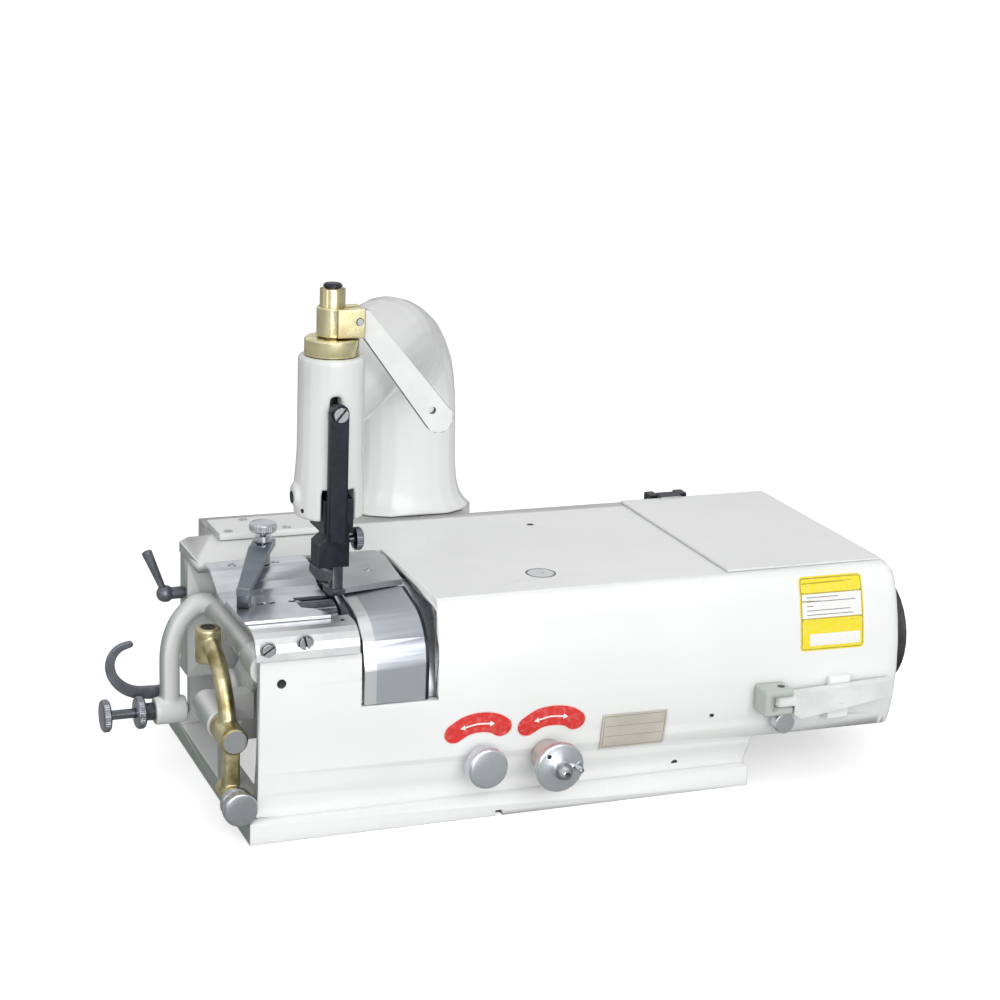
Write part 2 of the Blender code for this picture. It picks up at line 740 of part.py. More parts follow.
def band_outline(points, first_half, last_half):
    """Outline of a strip along a flat line of points, narrowing evenly to its end."""
    left = []
    right = []
    for index, (a, b) in enumerate(points):
        before = points[max(index - 1, 0)]
        after = points[min(index + 1, len(points) - 1)]
        length = math.hypot(after[0] - before[0], after[1] - before[1])
        normal = (-(after[1] - before[1]) / length, (after[0] - before[0]) / length)
        half = first_half + (last_half - first_half) * index / (len(points) - 1)
        left.append((a + normal[0] * half, b + normal[1] * half))
        right.append((a - normal[0] * half, b - normal[1] * half))
    return left + right[::-1]


def combine(target, tool, operation):
    modifier = target.modifiers.new("combine", 'BOOLEAN')
    modifier.operation = operation
    modifier.solver = 'EXACT'
    modifier.object = tool
    graph = bpy.context.evaluated_depsgraph_get()
    mesh = bpy.data.meshes.new_from_object(target.evaluated_get(graph))
    target.modifiers.clear()
    builder = bmesh.new()
    builder.from_mesh(mesh)
    bmesh.ops.remove_doubles(builder, verts=builder.verts, dist=MERGE)
    bmesh.ops.dissolve_degenerate(builder, edges=builder.edges, dist=MERGE)
    builder.to_mesh(mesh)
    builder.free()
    target.data = mesh
    bpy.data.objects.remove(tool)
    return target


def fuse(target, *tools):
    for tool in tools:
        combine(target, tool, 'UNION')
    return target


def cut(target, *tools):
    for tool in tools:
        combine(target, tool, 'DIFFERENCE')
    return target


def finish(name, item, finish_name, pivot=None, angle=38.0):
    """Names a piece, gives it its material, and sets its origin on its pivot."""
    pivot = ROW_ORIGIN if pivot is None else Vector(pivot)
    item.data.transform(Matrix.Translation(-pivot))
    item.location = pivot - ROW_ORIGIN
    item.name = name
    item.data.name = name
    item.data.materials.clear()
    item.data.materials.append(make_material(finish_name))
    item.data.shade_smooth()
    item.data.set_sharp_from_angle(angle=math.radians(angle))
    return item


def bulge_at(x):
    share = (x - BODY_LEFT) / (BODY_RIGHT - BODY_LEFT)
    return BODY_BULGE_LEFT + (BODY_BULGE_RIGHT - BODY_BULGE_LEFT) * share


def face_y(x, z):
    """Where the front face of the body is, at a place along it and a height."""
    share = float(np.interp(z / BODY_TOP, FACE_HEIGHT_SHARES, FACE_BULGE_SHARES))
    return BODY_FRONT - bulge_at(x) * share


def most_forward(left, right, bottom, top):
    """The nearest Y of the front face over a patch of it."""
    samples = 5
    return min(face_y(left + (right - left) * a / samples, bottom + (top - bottom) * b / samples)
               for a in range(samples + 1) for b in range(samples + 1))


def body_section(x, end_share=0.0):
    """One YZ outline of the body; end_share draws it in for the rounded right end."""
    top_in = BODY_END_ROUND * end_share
    front_in = BODY_END_FRONT_ROUND * end_share
    front = [(x, face_y(x, share * BODY_TOP) + front_in, share * BODY_TOP - top_in * share)
             for share in FACE_HEIGHT_SHARES]
    back_top = (x, BODY_BACK - front_in, BODY_TOP - top_in)
    back_bottom = (x, BODY_BACK - front_in, 0.0)
    return front + [back_top, back_bottom]


def cavity_section(x, floor):
    """The hollow's outline: the body's outline less the wall, from floor up."""
    ceiling = BODY_TOP - BODY_WALL
    shares = FACE_HEIGHT_SHARES[:-2]
    front = [(x, face_y(x, share * BODY_TOP) + BODY_WALL, floor + share * (ceiling - floor))
             for share in shares]
    back = BODY_BACK - BODY_WALL
    return front + [(x, front[-1][1] + BODY_WALL, ceiling), (x, back, ceiling), (x, back, floor)]


def make_casting_body():
    """The outside of the body before anything is cut from it."""
    sections = [body_section(x) for x in (BODY_LEFT, BODY_RIGHT - BODY_END_ROUND)]
    steps = 3
    for step in range(1, steps + 1):
        turn = math.pi / 2 * step / steps
        x = BODY_RIGHT - BODY_END_ROUND * (1 - math.sin(turn))
        sections.append(body_section(x, 1 - math.cos(turn)))
    return lofted(sections)


def make_overhang_cutter():
    """The space under the right overhang, with a fillet in its inner corner."""
    steps = 5
    outline = [(BASE_LENGTH, -OVERRUN)]
    for step in range(steps + 1):
        turn = math.pi / 2 * step / steps
        outline.append((BASE_LENGTH + OVERHANG_FILLET * (1 - math.cos(turn)),
                        OVERHANG_BOTTOM - OVERHANG_FILLET * (1 - math.sin(turn))))
    far = BODY_RIGHT + OVERRUN
    outline += [(far, OVERHANG_BOTTOM), (far, -OVERRUN)]
    return extruded(outline, "Y", -BODY_BULGE_RIGHT - OVERRUN, BASE_DEPTH + OVERRUN)


def make_corbel():
    """The round shelf behind the body that carries the arm's column."""
    foot_radius = COLUMN_RADIUS * ARM_SHARES[0][2]
    heights = (CORBEL_BOTTOM, CORBEL_EDGE, BODY_TOP)
    corbel = swept([(COLUMN_X, COLUMN_Y, height) for height in heights],
                   [foot_radius] * len(heights), ARM_SIDES)
    for vertex in corbel.data.vertices:
        share = ARM_BACK_SHARE
        if vertex.co.z < CORBEL_EDGE - OVERRUN:
            share = CORBEL_FOOT_SHARE
        vertex.co.y = max(BODY_BACK + (vertex.co.y - BODY_BACK) * share, BODY_BACK - OVERRUN)
    return corbel


def make_main_casting():
    casting = make_casting_body()
    fuse(casting, box((0, 0, 0), (BASE_LENGTH + OVERRUN, BASE_DEPTH, BASE_HEIGHT)))
    fuse(casting, box((BACK_PAD_LEFT, BODY_BACK - BODY_WALL + OVERRUN, BASE_HEIGHT - OVERRUN),
                      (BACK_PAD_RIGHT, BACK_PAD_BACK, BODY_TOP)))
    fuse(casting, make_corbel())
    fuse(casting, box((BLOCK_LEFT, BLOCK_FRONT, BLOCK_BOTTOM),
                      (BODY_LEFT + OVERRUN, BODY_BACK - OVERRUN, BODY_TOP)))
    fuse(casting, box((BLOCK_LEFT, LAND_FRONT, BODY_TOP - LAND_THICK),
                      (BODY_LEFT + OVERRUN, BLOCK_FRONT + OVERRUN, BODY_TOP)))
    cut(casting, make_overhang_cutter())
    above_base = BASE_HEIGHT - GAP
    block_left = BLOCK_RIGHT + GAP
    chambers = ((BLOCK_LEFT - OVERRUN, BASE_RIM_LEFT + OVERRUN, above_base),
                (BASE_RIM_LEFT, WEB_A_LEFT, -OVERRUN),
                (WEB_A_LEFT + WEB_THICK, WEB_B_LEFT, -OVERRUN),
                (WEB_B_LEFT + WEB_THICK, BASE_LENGTH - BODY_WALL, -OVERRUN),
                (BASE_LENGTH - BODY_WALL - OVERRUN, BASE_LENGTH + OVERHANG_FILLET + OVERRUN,
                 OVERHANG_BOTTOM + BODY_WALL / 2),
                (BASE_LENGTH + OVERHANG_FILLET, BODY_RIGHT - BODY_WALL,
                 OVERHANG_BOTTOM - OVERRUN))
    for left, right, floor in chambers:
        cut(casting, lofted([cavity_section(left, floor), cavity_section(right, floor)]))
    fuse(casting, box((BLOCK_LEFT + OVERRUN, BLOCK_FRONT, BLOCK_BOTTOM),
                      (block_left, BODY_BACK - OVERRUN, BODY_TOP - OVERRUN)))
    cut(casting, box((BLOCK_LEFT - OVERRUN, -BODY_BULGE_RIGHT, TABLE_WALL_TOP),
                     (TABLE_RIGHT, LAND_FRONT, BODY_TOP + OVERRUN)))
    corner_back = BLOCK_CORNER_Y + BLOCK_CORNER_RUN
    corner = [(BLOCK_LEFT - OVERRUN, BLOCK_CORNER_Y - OVERRUN),
              (BLOCK_LEFT + BLOCK_CORNER_RUN, corner_back), (BACK_PAD_LEFT, corner_back + OVERRUN),
              (BACK_PAD_LEFT, BODY_BACK + OVERRUN), (BLOCK_LEFT - OVERRUN, BODY_BACK + OVERRUN)]
    cut(casting, extruded(corner, "Z", BLOCK_BOTTOM + OVERRUN, BODY_TOP + OVERRUN))
    cut(casting, box((FRONT_PLATE_RIGHT + 2 * OVERRUN, -BODY_BULGE_RIGHT, GUARD_WINDOW_BOTTOM),
                     (TABLE_RIGHT, BODY_FRONT + 2 * BODY_WALL, TABLE_WALL_TOP + OVERRUN)))
    relief = KNIFE_RADIUS + KNIFE_RELIEF
    cut(casting, rod((KNIFE_LEFT - 2 * BODY_WALL, KNIFE_Y, KNIFE_Z),
                     (KNIFE_LEFT + KNIFE_LENGTH + 2 * KNIFE_TRAVEL, KNIFE_Y, KNIFE_Z),
                     relief, sides=WHEEL_SIDES))
    web_left = WEB_A_LEFT - OVERRUN
    web_right = WEB_B_LEFT + WEB_THICK + OVERRUN
    cut(casting, rod((web_left, KNIFE_Y, KNIFE_Z), (web_right, KNIFE_Y, KNIFE_Z),
                     QUILL_RADIUS + GAP))
    cut(casting, rod((web_left, STONE_Y, STONE_Z), (web_right, STONE_Y, STONE_Z),
                     CARRIAGE_RADIUS + GAP))
    cut(casting, rod((web_left, FEED_Y, FEED_Z), (BODY_RIGHT + OVERRUN, FEED_Y, FEED_Z),
                     FEED_SHAFT_RADIUS + GAP, sides=SMALL_SIDES))
    cut(casting, rod((web_right, KNIFE_Y, KNIFE_Z), (BODY_RIGHT + OVERRUN, KNIFE_Y, KNIFE_Z),
                     KNIFE_SHAFT_RADIUS + GAP))
    rack_half = PINION_WIDTH / 2 + OVERRUN
    cut(casting, box((web_left, KNIFE_Y - rack_half, KNOB_Z + PINION_TEETH * TOOTH_MODULE / 2
                      - 2 * OVERRUN),
                     (WEB_A_LEFT + WEB_THICK + OVERRUN, KNIFE_Y + rack_half,
                      KNIFE_Z - QUILL_RADIUS + 2 * OVERRUN)))
    for knob_x in (KNIFE_KNOB_X, STONE_KNOB_X):
        cut(casting, rod((knob_x, -BODY_BULGE_RIGHT, KNOB_Z), (knob_x, BODY_FRONT + 2 * BODY_WALL,
                                                            KNOB_Z),
                         KNOB_SHAFT_RADIUS + GAP, sides=SMALL_SIDES))
    cut(casting, rod((SWING_X, SWING_PIN_FRONT - GAP, SWING_Z),
                     (SWING_X, BODY_FRONT + 2 * BODY_WALL, SWING_Z),
                     SWING_PIN_RADIUS + GAP, sides=SMALL_SIDES))
    cut(casting, rod((SWING_X, BLOCK_FRONT - OVERRUN, SWING_Z),
                     (SWING_X, SWING_PIN_BACK + GAP, SWING_Z),
                     SWING_PIN_RADIUS + GAP, sides=SMALL_SIDES))
    cut(casting, rod((BLOCK_LEFT - OVERRUN, BALL_LEVER_Y, BALL_LEVER_Z),
                     (BLOCK_LEFT + BALL_STEM_DEPTH + GAP, BALL_LEVER_Y, BALL_LEVER_Z),
                     BALL_STEM_RADIUS + GAP, sides=SMALL_SIDES))
    cut(casting, box((COVER_LEFT + COVER_HOLE_MARGIN, COVER_FRONT + 2 * COVER_HOLE_MARGIN,
                      BODY_TOP - 2 * BODY_WALL),
                     (COVER_RIGHT - COVER_HOLE_MARGIN, COVER_BACK - COVER_HOLE_MARGIN,
                      BODY_TOP + OVERRUN)))
    cut(casting, rod((SIGHT_X, SIGHT_Y, BODY_TOP - SIGHT_THICK - GAP),
                     (SIGHT_X, SIGHT_Y, BODY_TOP + OVERRUN), SIGHT_RADIUS + GAP))
    cut(casting, rod((OIL_HOLE_X, OIL_HOLE_Y, BODY_TOP - OIL_HOLE_DEPTH),
                     (OIL_HOLE_X, OIL_HOLE_Y, BODY_TOP + OVERRUN), OIL_HOLE_RADIUS,
                     sides=SMALL_SIDES))
    cut(casting, box((BASE_NOTCH_X - BASE_NOTCH_WIDTH / 2, -OVERRUN, -OVERRUN),
                     (BASE_NOTCH_X + BASE_NOTCH_WIDTH / 2, BASE_NOTCH_WIDTH, BASE_NOTCH_HEIGHT)))
    roller_face = most_forward(LEVER_ROLLER_X - LEVER_ROLLER_RADIUS,
                               LEVER_ROLLER_X + LEVER_ROLLER_RADIUS,
                               LEVER_ROLLER_Z - LEVER_ROLLER_RADIUS,
                               LEVER_ROLLER_Z + LEVER_ROLLER_RADIUS)
    cut(casting, rod((LEVER_ROLLER_X, roller_face - OVERRUN, LEVER_ROLLER_Z),
                     (LEVER_ROLLER_X, roller_face + LEVER_ROLLER_PIN_DEPTH + BODY_WALL / 2,
                      LEVER_ROLLER_Z), LEVER_ROLLER_PIN + GAP, sides=SMALL_SIDES))
    fuse(casting, box((STOP_LEFT, most_forward(STOP_LEFT, STOP_LEFT + STOP_WIDTH, STOP_BOTTOM,
                                               STOP_BOTTOM + STOP_HEIGHT) - STOP_OUT,
                       STOP_BOTTOM),
                      (STOP_LEFT + STOP_WIDTH, BODY_FRONT - BODY_BULGE_RIGHT / 2
                       + BODY_WALL / 2, STOP_BOTTOM + STOP_HEIGHT), round_edges=OVERRUN))
    return finish("main_casting", casting, "enamel", angle=30.0)


def make_table_bracket():
    """The seat under the table plates: a ring open to the right around the feed roller."""
    back = LAND_FRONT - GAP
    bracket = box((BRACKET_LEFT, BRACKET_FRONT, BRACKET_BOTTOM),
                  (BRACKET_RIGHT, back, BRACKET_TOP))
    cut(bracket, box((BRACKET_LEFT + BRACKET_RAIL, BRACKET_FRONT + BRACKET_FRONT_DEPTH,
                      BRACKET_BOTTOM - OVERRUN),
                     (BRACKET_RIGHT + OVERRUN, BRACKET_BACK_FRONT, BRACKET_TOP + OVERRUN)))
    fuse(bracket, box((BRACKET_FOOT_LEFT, BRACKET_FOOT_FRONT, TABLE_WALL_TOP + GAP),
                      (BRACKET_RIGHT - OVERRUN, BRACKET_FRONT + BODY_WALL,
                       BRACKET_BOTTOM + OVERRUN)))
    fuse(bracket, box((BRACKET_LEFT + OVERRUN, BRACKET_STEP_FRONT, BRACKET_BOTTOM + OVERRUN),
                      (BRACKET_RIGHT - OVERRUN, back - OVERRUN,
                       BRACKET_TOP + BACK_PLATE_RISE - GAP)))
    fuse(bracket, box((COVER_PLATE_LEFT, back - SHELF_DEPTH, SHELF_BOTTOM),
                      (GUARD_RIGHT, back, BODY_TOP - COVER_PLATE_THICK - GAP)))
    fuse(bracket, box((BRACKET_RIGHT - BRACKET_RAIL, back - SHELF_DEPTH + OVERRUN,
                       SHELF_BOTTOM + OVERRUN),
                      (COVER_PLATE_LEFT + OVERRUN, back - OVERRUN, BRACKET_TOP - OVERRUN)))
    return finish("table_bracket", bracket, "steel")


def sheet_outline(points, thickness):
    """A bent sheet's outline: points of its outer face, then the same ones moved inwards."""
    inner = []
    for index, (y, z) in enumerate(points):
        before = points[max(index - 1, 0)]
        after = points[min(index + 1, len(points) - 1)]
        length = math.hypot(after[0] - before[0], after[1] - before[1])
        normal = ((after[1] - before[1]) / length, -(after[0] - before[0]) / length)
        inner.append((y + normal[0] * thickness, z + normal[1] * thickness))
    return points + inner[::-1]


def make_front_plate():
    """The bent plate over the front edge of the table."""
    rise = GUIDE_PLATE_TOP - PLATE_THICK - GAP - FRONT_PLATE_BOTTOM
    run = FRONT_PLATE_RUN
    shares = ((0.0, 0.0), (0.01, 0.30), (0.10, 0.58), (0.28, 0.80), (0.52, 0.94), (0.80, 1.0),
              (1.58, 1.0))
    points = [(FRONT_PLATE_FACE + run * a, FRONT_PLATE_BOTTOM + rise * b) for a, b in shares]
    plate = extruded(sheet_outline(points, PLATE_THICK - 2 * GAP), "X", FRONT_PLATE_LEFT,
                     FRONT_PLATE_RIGHT)
    return finish("front_plate", plate, "polished_steel")


def make_guide_plate():
    """The flat plate with two slots, pointed at its right end."""
    tip = GUIDE_PLATE_RIGHT
    depth = GUIDE_PLATE_BACK - GUIDE_PLATE_FRONT
    shares = ((0.98, 0.0), (1.0, 0.05), (0.86, 0.34), (0.74, 0.42), (0.74, 1.0))
    outline = [(GUIDE_PLATE_LEFT, GUIDE_PLATE_FRONT)]
    outline += [(tip * across, GUIDE_PLATE_FRONT + depth * back) for across, back in shares]
    outline.append((GUIDE_PLATE_LEFT, GUIDE_PLATE_BACK))
    plate = extruded(outline, "Z", GUIDE_PLATE_TOP - PLATE_THICK, GUIDE_PLATE_TOP)
    for x in GUIDE_SLOT_XS:
        slot = hull_of_circles((x, GUIDE_SLOT_Y), GUIDE_SLOT_RADIUS,
                               (x + GUIDE_SLOT_LENGTH, GUIDE_SLOT_Y), GUIDE_SLOT_RADIUS, 4)
        cut(plate, extruded(slot, "Z", GUIDE_PLATE_TOP - 2 * PLATE_THICK,
                            GUIDE_PLATE_TOP + OVERRUN))
    return finish("guide_plate", plate, "polished_steel")


def make_back_plate():
    """The plate that rises in a shallow curve from the guide plate to the land behind it."""
    run = LAND_FRONT - GAP - BACK_PLATE_FRONT
    low = BRACKET_TOP + GAP + PLATE_THICK
    shares = ((0.0, 0.0), (0.22, 0.0), (0.36, 0.10), (0.48, 0.38), (0.58, 0.70), (0.68, 0.93),
              (0.78, 1.0), (1.0, 1.0))
    points = [(BACK_PLATE_FRONT + run * a, low + BACK_PLATE_RISE * b) for a, b in shares]
    plate = extruded(sheet_outline(points, PLATE_THICK), "X", BACK_PLATE_LEFT, BACK_PLATE_RIGHT)
    return finish("back_plate", plate, "polished_steel")


def make_knife_cover_plate():
    width = COVER_PLATE_RIGHT - COVER_PLATE_LEFT
    depth = COVER_PLATE_BACK - COVER_PLATE_FRONT
    shares = ((0.0, 0.0), (0.89, 0.11), (1.0, 0.80), (0.95, 1.0), (0.0, 1.0))
    outline = [(COVER_PLATE_LEFT + width * across, COVER_PLATE_FRONT + depth * back)
               for across, back in shares]
    plate = extruded(outline, "Z", BODY_TOP - COVER_PLATE_THICK, BODY_TOP)
    return finish("knife_cover_plate", plate, "steel")


def guard_points():
    """Outer face of the knife guard, from its bottom edge up and over to the back."""
    centre_y = GUARD_FACE + GUARD_CORNER
    centre_z = GUARD_TANGENT_Z - GUARD_CORNER * math.cos(math.radians(15.0))
    points = [(GUARD_FACE, GUARD_BOTTOM)]
    steps = 9
    for step in range(steps + 1):
        turn = math.radians(75.0) * step / steps
        points.append((centre_y - GUARD_CORNER * math.cos(turn),
                       centre_z + GUARD_CORNER * math.sin(turn)))
    points.append((GUARD_BACK, GUARD_BACK_Z))
    return points


def make_knife_guard():
    guard = extruded(sheet_outline(guard_points(), GUARD_SKIN), "X", GUARD_LEFT, GUARD_RIGHT)
    return finish("knife_guard", guard, "polished_steel", angle=30.0)


def make_rear_plate():
    plate = box((REAR_PLATE_LEFT, REAR_PLATE_FRONT, BODY_TOP + GAP),
                (REAR_PLATE_RIGHT, REAR_PLATE_BACK, BODY_TOP + GAP + REAR_PLATE_THICK),
                round_edges=OVERRUN)
    return finish("rear_plate", plate, "enamel")


def knife_at(x):
    return (x, KNIFE_Y, KNIFE_Z)


def make_knife_pieces():
    inner = KNIFE_RADIUS - KNIFE_WALL
    back = KNIFE_LENGTH
    profile = [(0.0, inner), (0.0, inner + KNIFE_WALL / 4), (KNIFE_BEVEL, KNIFE_RADIUS),
               (back - KNIFE_CORNER, KNIFE_RADIUS), (back, KNIFE_RADIUS - KNIFE_CORNER),
               (back, KNIFE_SHAFT_RADIUS + GAP), (back - KNIFE_BACK_THICK,
                                                  KNIFE_SHAFT_RADIUS + GAP),
               (back - KNIFE_BACK_THICK, inner - KNIFE_CORNER),
               (back - KNIFE_BACK_THICK - KNIFE_CORNER, inner)]
    knife = turned(knife_at(KNIFE_LEFT), (1, 0, 0), profile, WHEEL_SIDES)
    finish("bell_knife", knife, "polished_steel", knife_at(KNIFE_LEFT))
    flange_left = KNIFE_LEFT + KNIFE_LENGTH + GAP
    flange = ring(knife_at(flange_left), (1, 0, 0), KNIFE_FLANGE_THICK, KNIFE_FLANGE_RADIUS,
                  KNIFE_SHAFT_RADIUS + GAP, chamfer=OVERRUN)
    finish("knife_flange", flange, "steel", knife_at(flange_left))
    quill_left = flange_left + KNIFE_FLANGE_THICK + QUILL_GAP
    pulley_left = BODY_RIGHT + PULLEY_OFFSET
    shaft_left = KNIFE_LEFT + KNIFE_LENGTH - KNIFE_SHAFT_NOSE
    shaft = rod(knife_at(shaft_left), knife_at(pulley_left + PULLEY_WIDTH + OVERRUN),
                KNIFE_SHAFT_RADIUS, chamfer=OVERRUN)
    finish("knife_shaft", shaft, "steel", knife_at(shaft_left))
    quill = ring(knife_at(quill_left), (1, 0, 0), QUILL_LENGTH, QUILL_RADIUS, QUILL_BORE)
    fuse(quill, make_rack(KNIFE_KNOB_X, KNIFE_Y, KNIFE_Z - QUILL_RADIUS))
    finish("knife_quill", quill, "dark_steel", knife_at(quill_left))
    right_end = quill_left + QUILL_LENGTH - BEARING_INSET - BEARING_WIDTH
    for name, left in (("knife_bearing_front", quill_left + BEARING_INSET),
                       ("knife_bearing_rear", right_end)):
        bearing = ring(knife_at(left), (1, 0, 0), BEARING_WIDTH, QUILL_BORE - GAP,
                       KNIFE_SHAFT_RADIUS + GAP)
        finish(name, bearing, "polished_steel", knife_at(left))
    rim = PULLEY_RADIUS
    web_left = (PULLEY_WIDTH - PULLEY_WEB_THICK) / 2
    web_right = web_left + PULLEY_WEB_THICK
    inner_rim = PULLEY_RADIUS - PULLEY_GROOVE - PULLEY_RIM
    profile = [(0.0, KNIFE_SHAFT_RADIUS + GAP), (0.0, PULLEY_HUB_RADIUS),
               (web_left, PULLEY_HUB_RADIUS), (web_left, inner_rim), (0.0, inner_rim), (0.0, rim),
               (PULLEY_RIM, rim), (PULLEY_WIDTH / 2 - PULLEY_RIM / 2, rim - PULLEY_GROOVE),
               (PULLEY_WIDTH / 2 + PULLEY_RIM / 2, rim - PULLEY_GROOVE),
               (PULLEY_WIDTH - PULLEY_RIM, rim), (PULLEY_WIDTH, rim), (PULLEY_WIDTH, inner_rim),
               (web_right, inner_rim), (web_right, PULLEY_HUB_RADIUS),
               (PULLEY_WIDTH, PULLEY_HUB_RADIUS), (PULLEY_WIDTH, KNIFE_SHAFT_RADIUS + GAP)]
    pulley = turned(knife_at(pulley_left), (1, 0, 0), profile, WHEEL_SIDES)
    finish("knife_pulley", pulley, "cast_black", knife_at(pulley_left))


def make_rack(knob_x, middle_y, join_z):
    """A toothed bar above a knob's pinion, reaching up to the sleeve that it moves."""
    pitch = math.pi * TOOTH_MODULE
    pitch_z = KNOB_Z + PINION_TEETH * TOOTH_MODULE / 2
    root_z = pitch_z + TOOTH_ROOT
    tip_z = pitch_z - TOOTH_TIP
    half = TOOTH_SHARE * pitch / 2
    tip_half = half - TOOTH_TIP * TOOTH_SLOPE
    root_half = half + TOOTH_ROOT * TOOTH_SLOPE
    lower = []
    for index in range(-RACK_TEETH_BEFORE, RACK_TEETH_AFTER + 1):
        middle = knob_x + index * pitch
        lower += [(middle - root_half, root_z), (middle - tip_half, tip_z),
                  (middle + tip_half, tip_z), (middle + root_half, root_z)]
    first = knob_x - (RACK_TEETH_BEFORE + 0.5) * pitch
    last = knob_x + (RACK_TEETH_AFTER + 0.5) * pitch
    top = join_z + OVERRUN
    outline = [(first, root_z)] + lower + [(last, root_z), (last, top), (first, top)]
    return extruded(outline, "Y", middle_y - PINION_WIDTH / 2, middle_y + PINION_WIDTH / 2)


def make_pinion(knob_x, middle_y):
    """The small gear on a knob's shaft, with a tooth gap straight above the axis."""
    pitch_radius = PINION_TEETH * TOOTH_MODULE / 2
    tip = pitch_radius + TOOTH_TIP
    root = pitch_radius - TOOTH_ROOT
    half = TOOTH_SHARE * math.pi * TOOTH_MODULE / 2
    tip_angle = (half - TOOTH_TIP * TOOTH_SLOPE) / tip
    root_angle = (half + TOOTH_ROOT * TOOTH_SLOPE) / root
    outline = []
    for index in range(PINION_TEETH):
        middle = math.pi / 2 + 2 * math.pi * (index + 0.5) / PINION_TEETH
        for turn, radius in ((middle - root_angle, root), (middle - tip_angle, tip),
                             (middle + tip_angle, tip), (middle + root_angle, root)):
            outline.append((knob_x + radius * math.cos(turn), KNOB_Z + radius * math.sin(turn)))
    return extruded(outline, "Y", middle_y - PINION_WIDTH / 2 - GAP,
                    middle_y + PINION_WIDTH / 2 + GAP)


def make_knife_knob():
    radius = KNIFE_KNOB_RADIUS
    face = most_forward(KNIFE_KNOB_X - radius, KNIFE_KNOB_X + radius, KNOB_Z - radius,
                        KNOB_Z + radius)
    disc_front = face - KNIFE_KNOB_STAND - KNIFE_KNOB_THICK
    knob = rod((KNIFE_KNOB_X, disc_front, KNOB_Z), (KNIFE_KNOB_X, face - KNIFE_KNOB_STAND, KNOB_Z),
               radius, chamfer=KNIFE_KNOB_RIM)
    fuse(knob, rod((KNIFE_KNOB_X, face - KNIFE_KNOB_STAND - OVERRUN, KNOB_Z),
                   (KNIFE_KNOB_X, KNIFE_SHAFT_END, KNOB_Z), KNOB_SHAFT_RADIUS, sides=SMALL_SIDES))
    fuse(knob, make_pinion(KNIFE_KNOB_X, KNIFE_Y))
    return finish("knife_knob", knob, "polished_steel", (KNIFE_KNOB_X, disc_front, KNOB_Z))


def make_stone_knob_pieces():
    radius = STONE_BARREL_RADIUS
    face = most_forward(STONE_KNOB_X - radius, STONE_KNOB_X + radius, KNOB_Z - radius,
                        KNOB_Z + radius)
    barrel_front = face - GAP - STONE_BARREL_LENGTH
    barrel = ring((STONE_KNOB_X, barrel_front, KNOB_Z), (0, 1, 0), STONE_BARREL_LENGTH, radius,
                  KNOB_SHAFT_RADIUS + GAP, chamfer=GAP)
    finish("stone_knob_barrel", barrel, "steel", (STONE_KNOB_X, barrel_front, KNOB_Z))
    disc_back = barrel_front - GAP
    disc_front = disc_back - STONE_KNOB_THICK
    hub_front = disc_front - STONE_KNOB_HUB_LENGTH
    knob = rod((STONE_KNOB_X, disc_front, KNOB_Z), (STONE_KNOB_X, disc_back, KNOB_Z),
               STONE_KNOB_RADIUS, chamfer=KNIFE_KNOB_RIM)
    fuse(knob, rod((STONE_KNOB_X, hub_front, KNOB_Z), (STONE_KNOB_X, disc_front + OVERRUN, KNOB_Z),
                   STONE_KNOB_HUB_RADIUS))
    fuse(knob, rod((STONE_KNOB_X, hub_front - STONE_KNOB_TIP_LENGTH, KNOB_Z),
                   (STONE_KNOB_X, hub_front + OVERRUN, KNOB_Z), STONE_KNOB_TIP_RADIUS,
                   sides=SMALL_SIDES))
    fuse(knob, rod((STONE_KNOB_X + STONE_PIN_REACH, disc_front - STONE_PIN_LENGTH, KNOB_Z),
                   (STONE_KNOB_X + STONE_PIN_REACH, disc_front + OVERRUN, KNOB_Z),
                   STONE_PIN_RADIUS, sides=SMALL_SIDES))
    fuse(knob, rod((STONE_KNOB_X, disc_back - OVERRUN, KNOB_Z),
                   (STONE_KNOB_X, STONE_PINION_Y + PINION_WIDTH, KNOB_Z), KNOB_SHAFT_RADIUS,
                   sides=SMALL_SIDES))
    fuse(knob, make_pinion(STONE_KNOB_X, STONE_PINION_Y))
    finish("stone_knob", knob, "polished_steel", (STONE_KNOB_X, disc_front, KNOB_Z))


def stone_at(x):
    return (x, STONE_Y, STONE_Z)


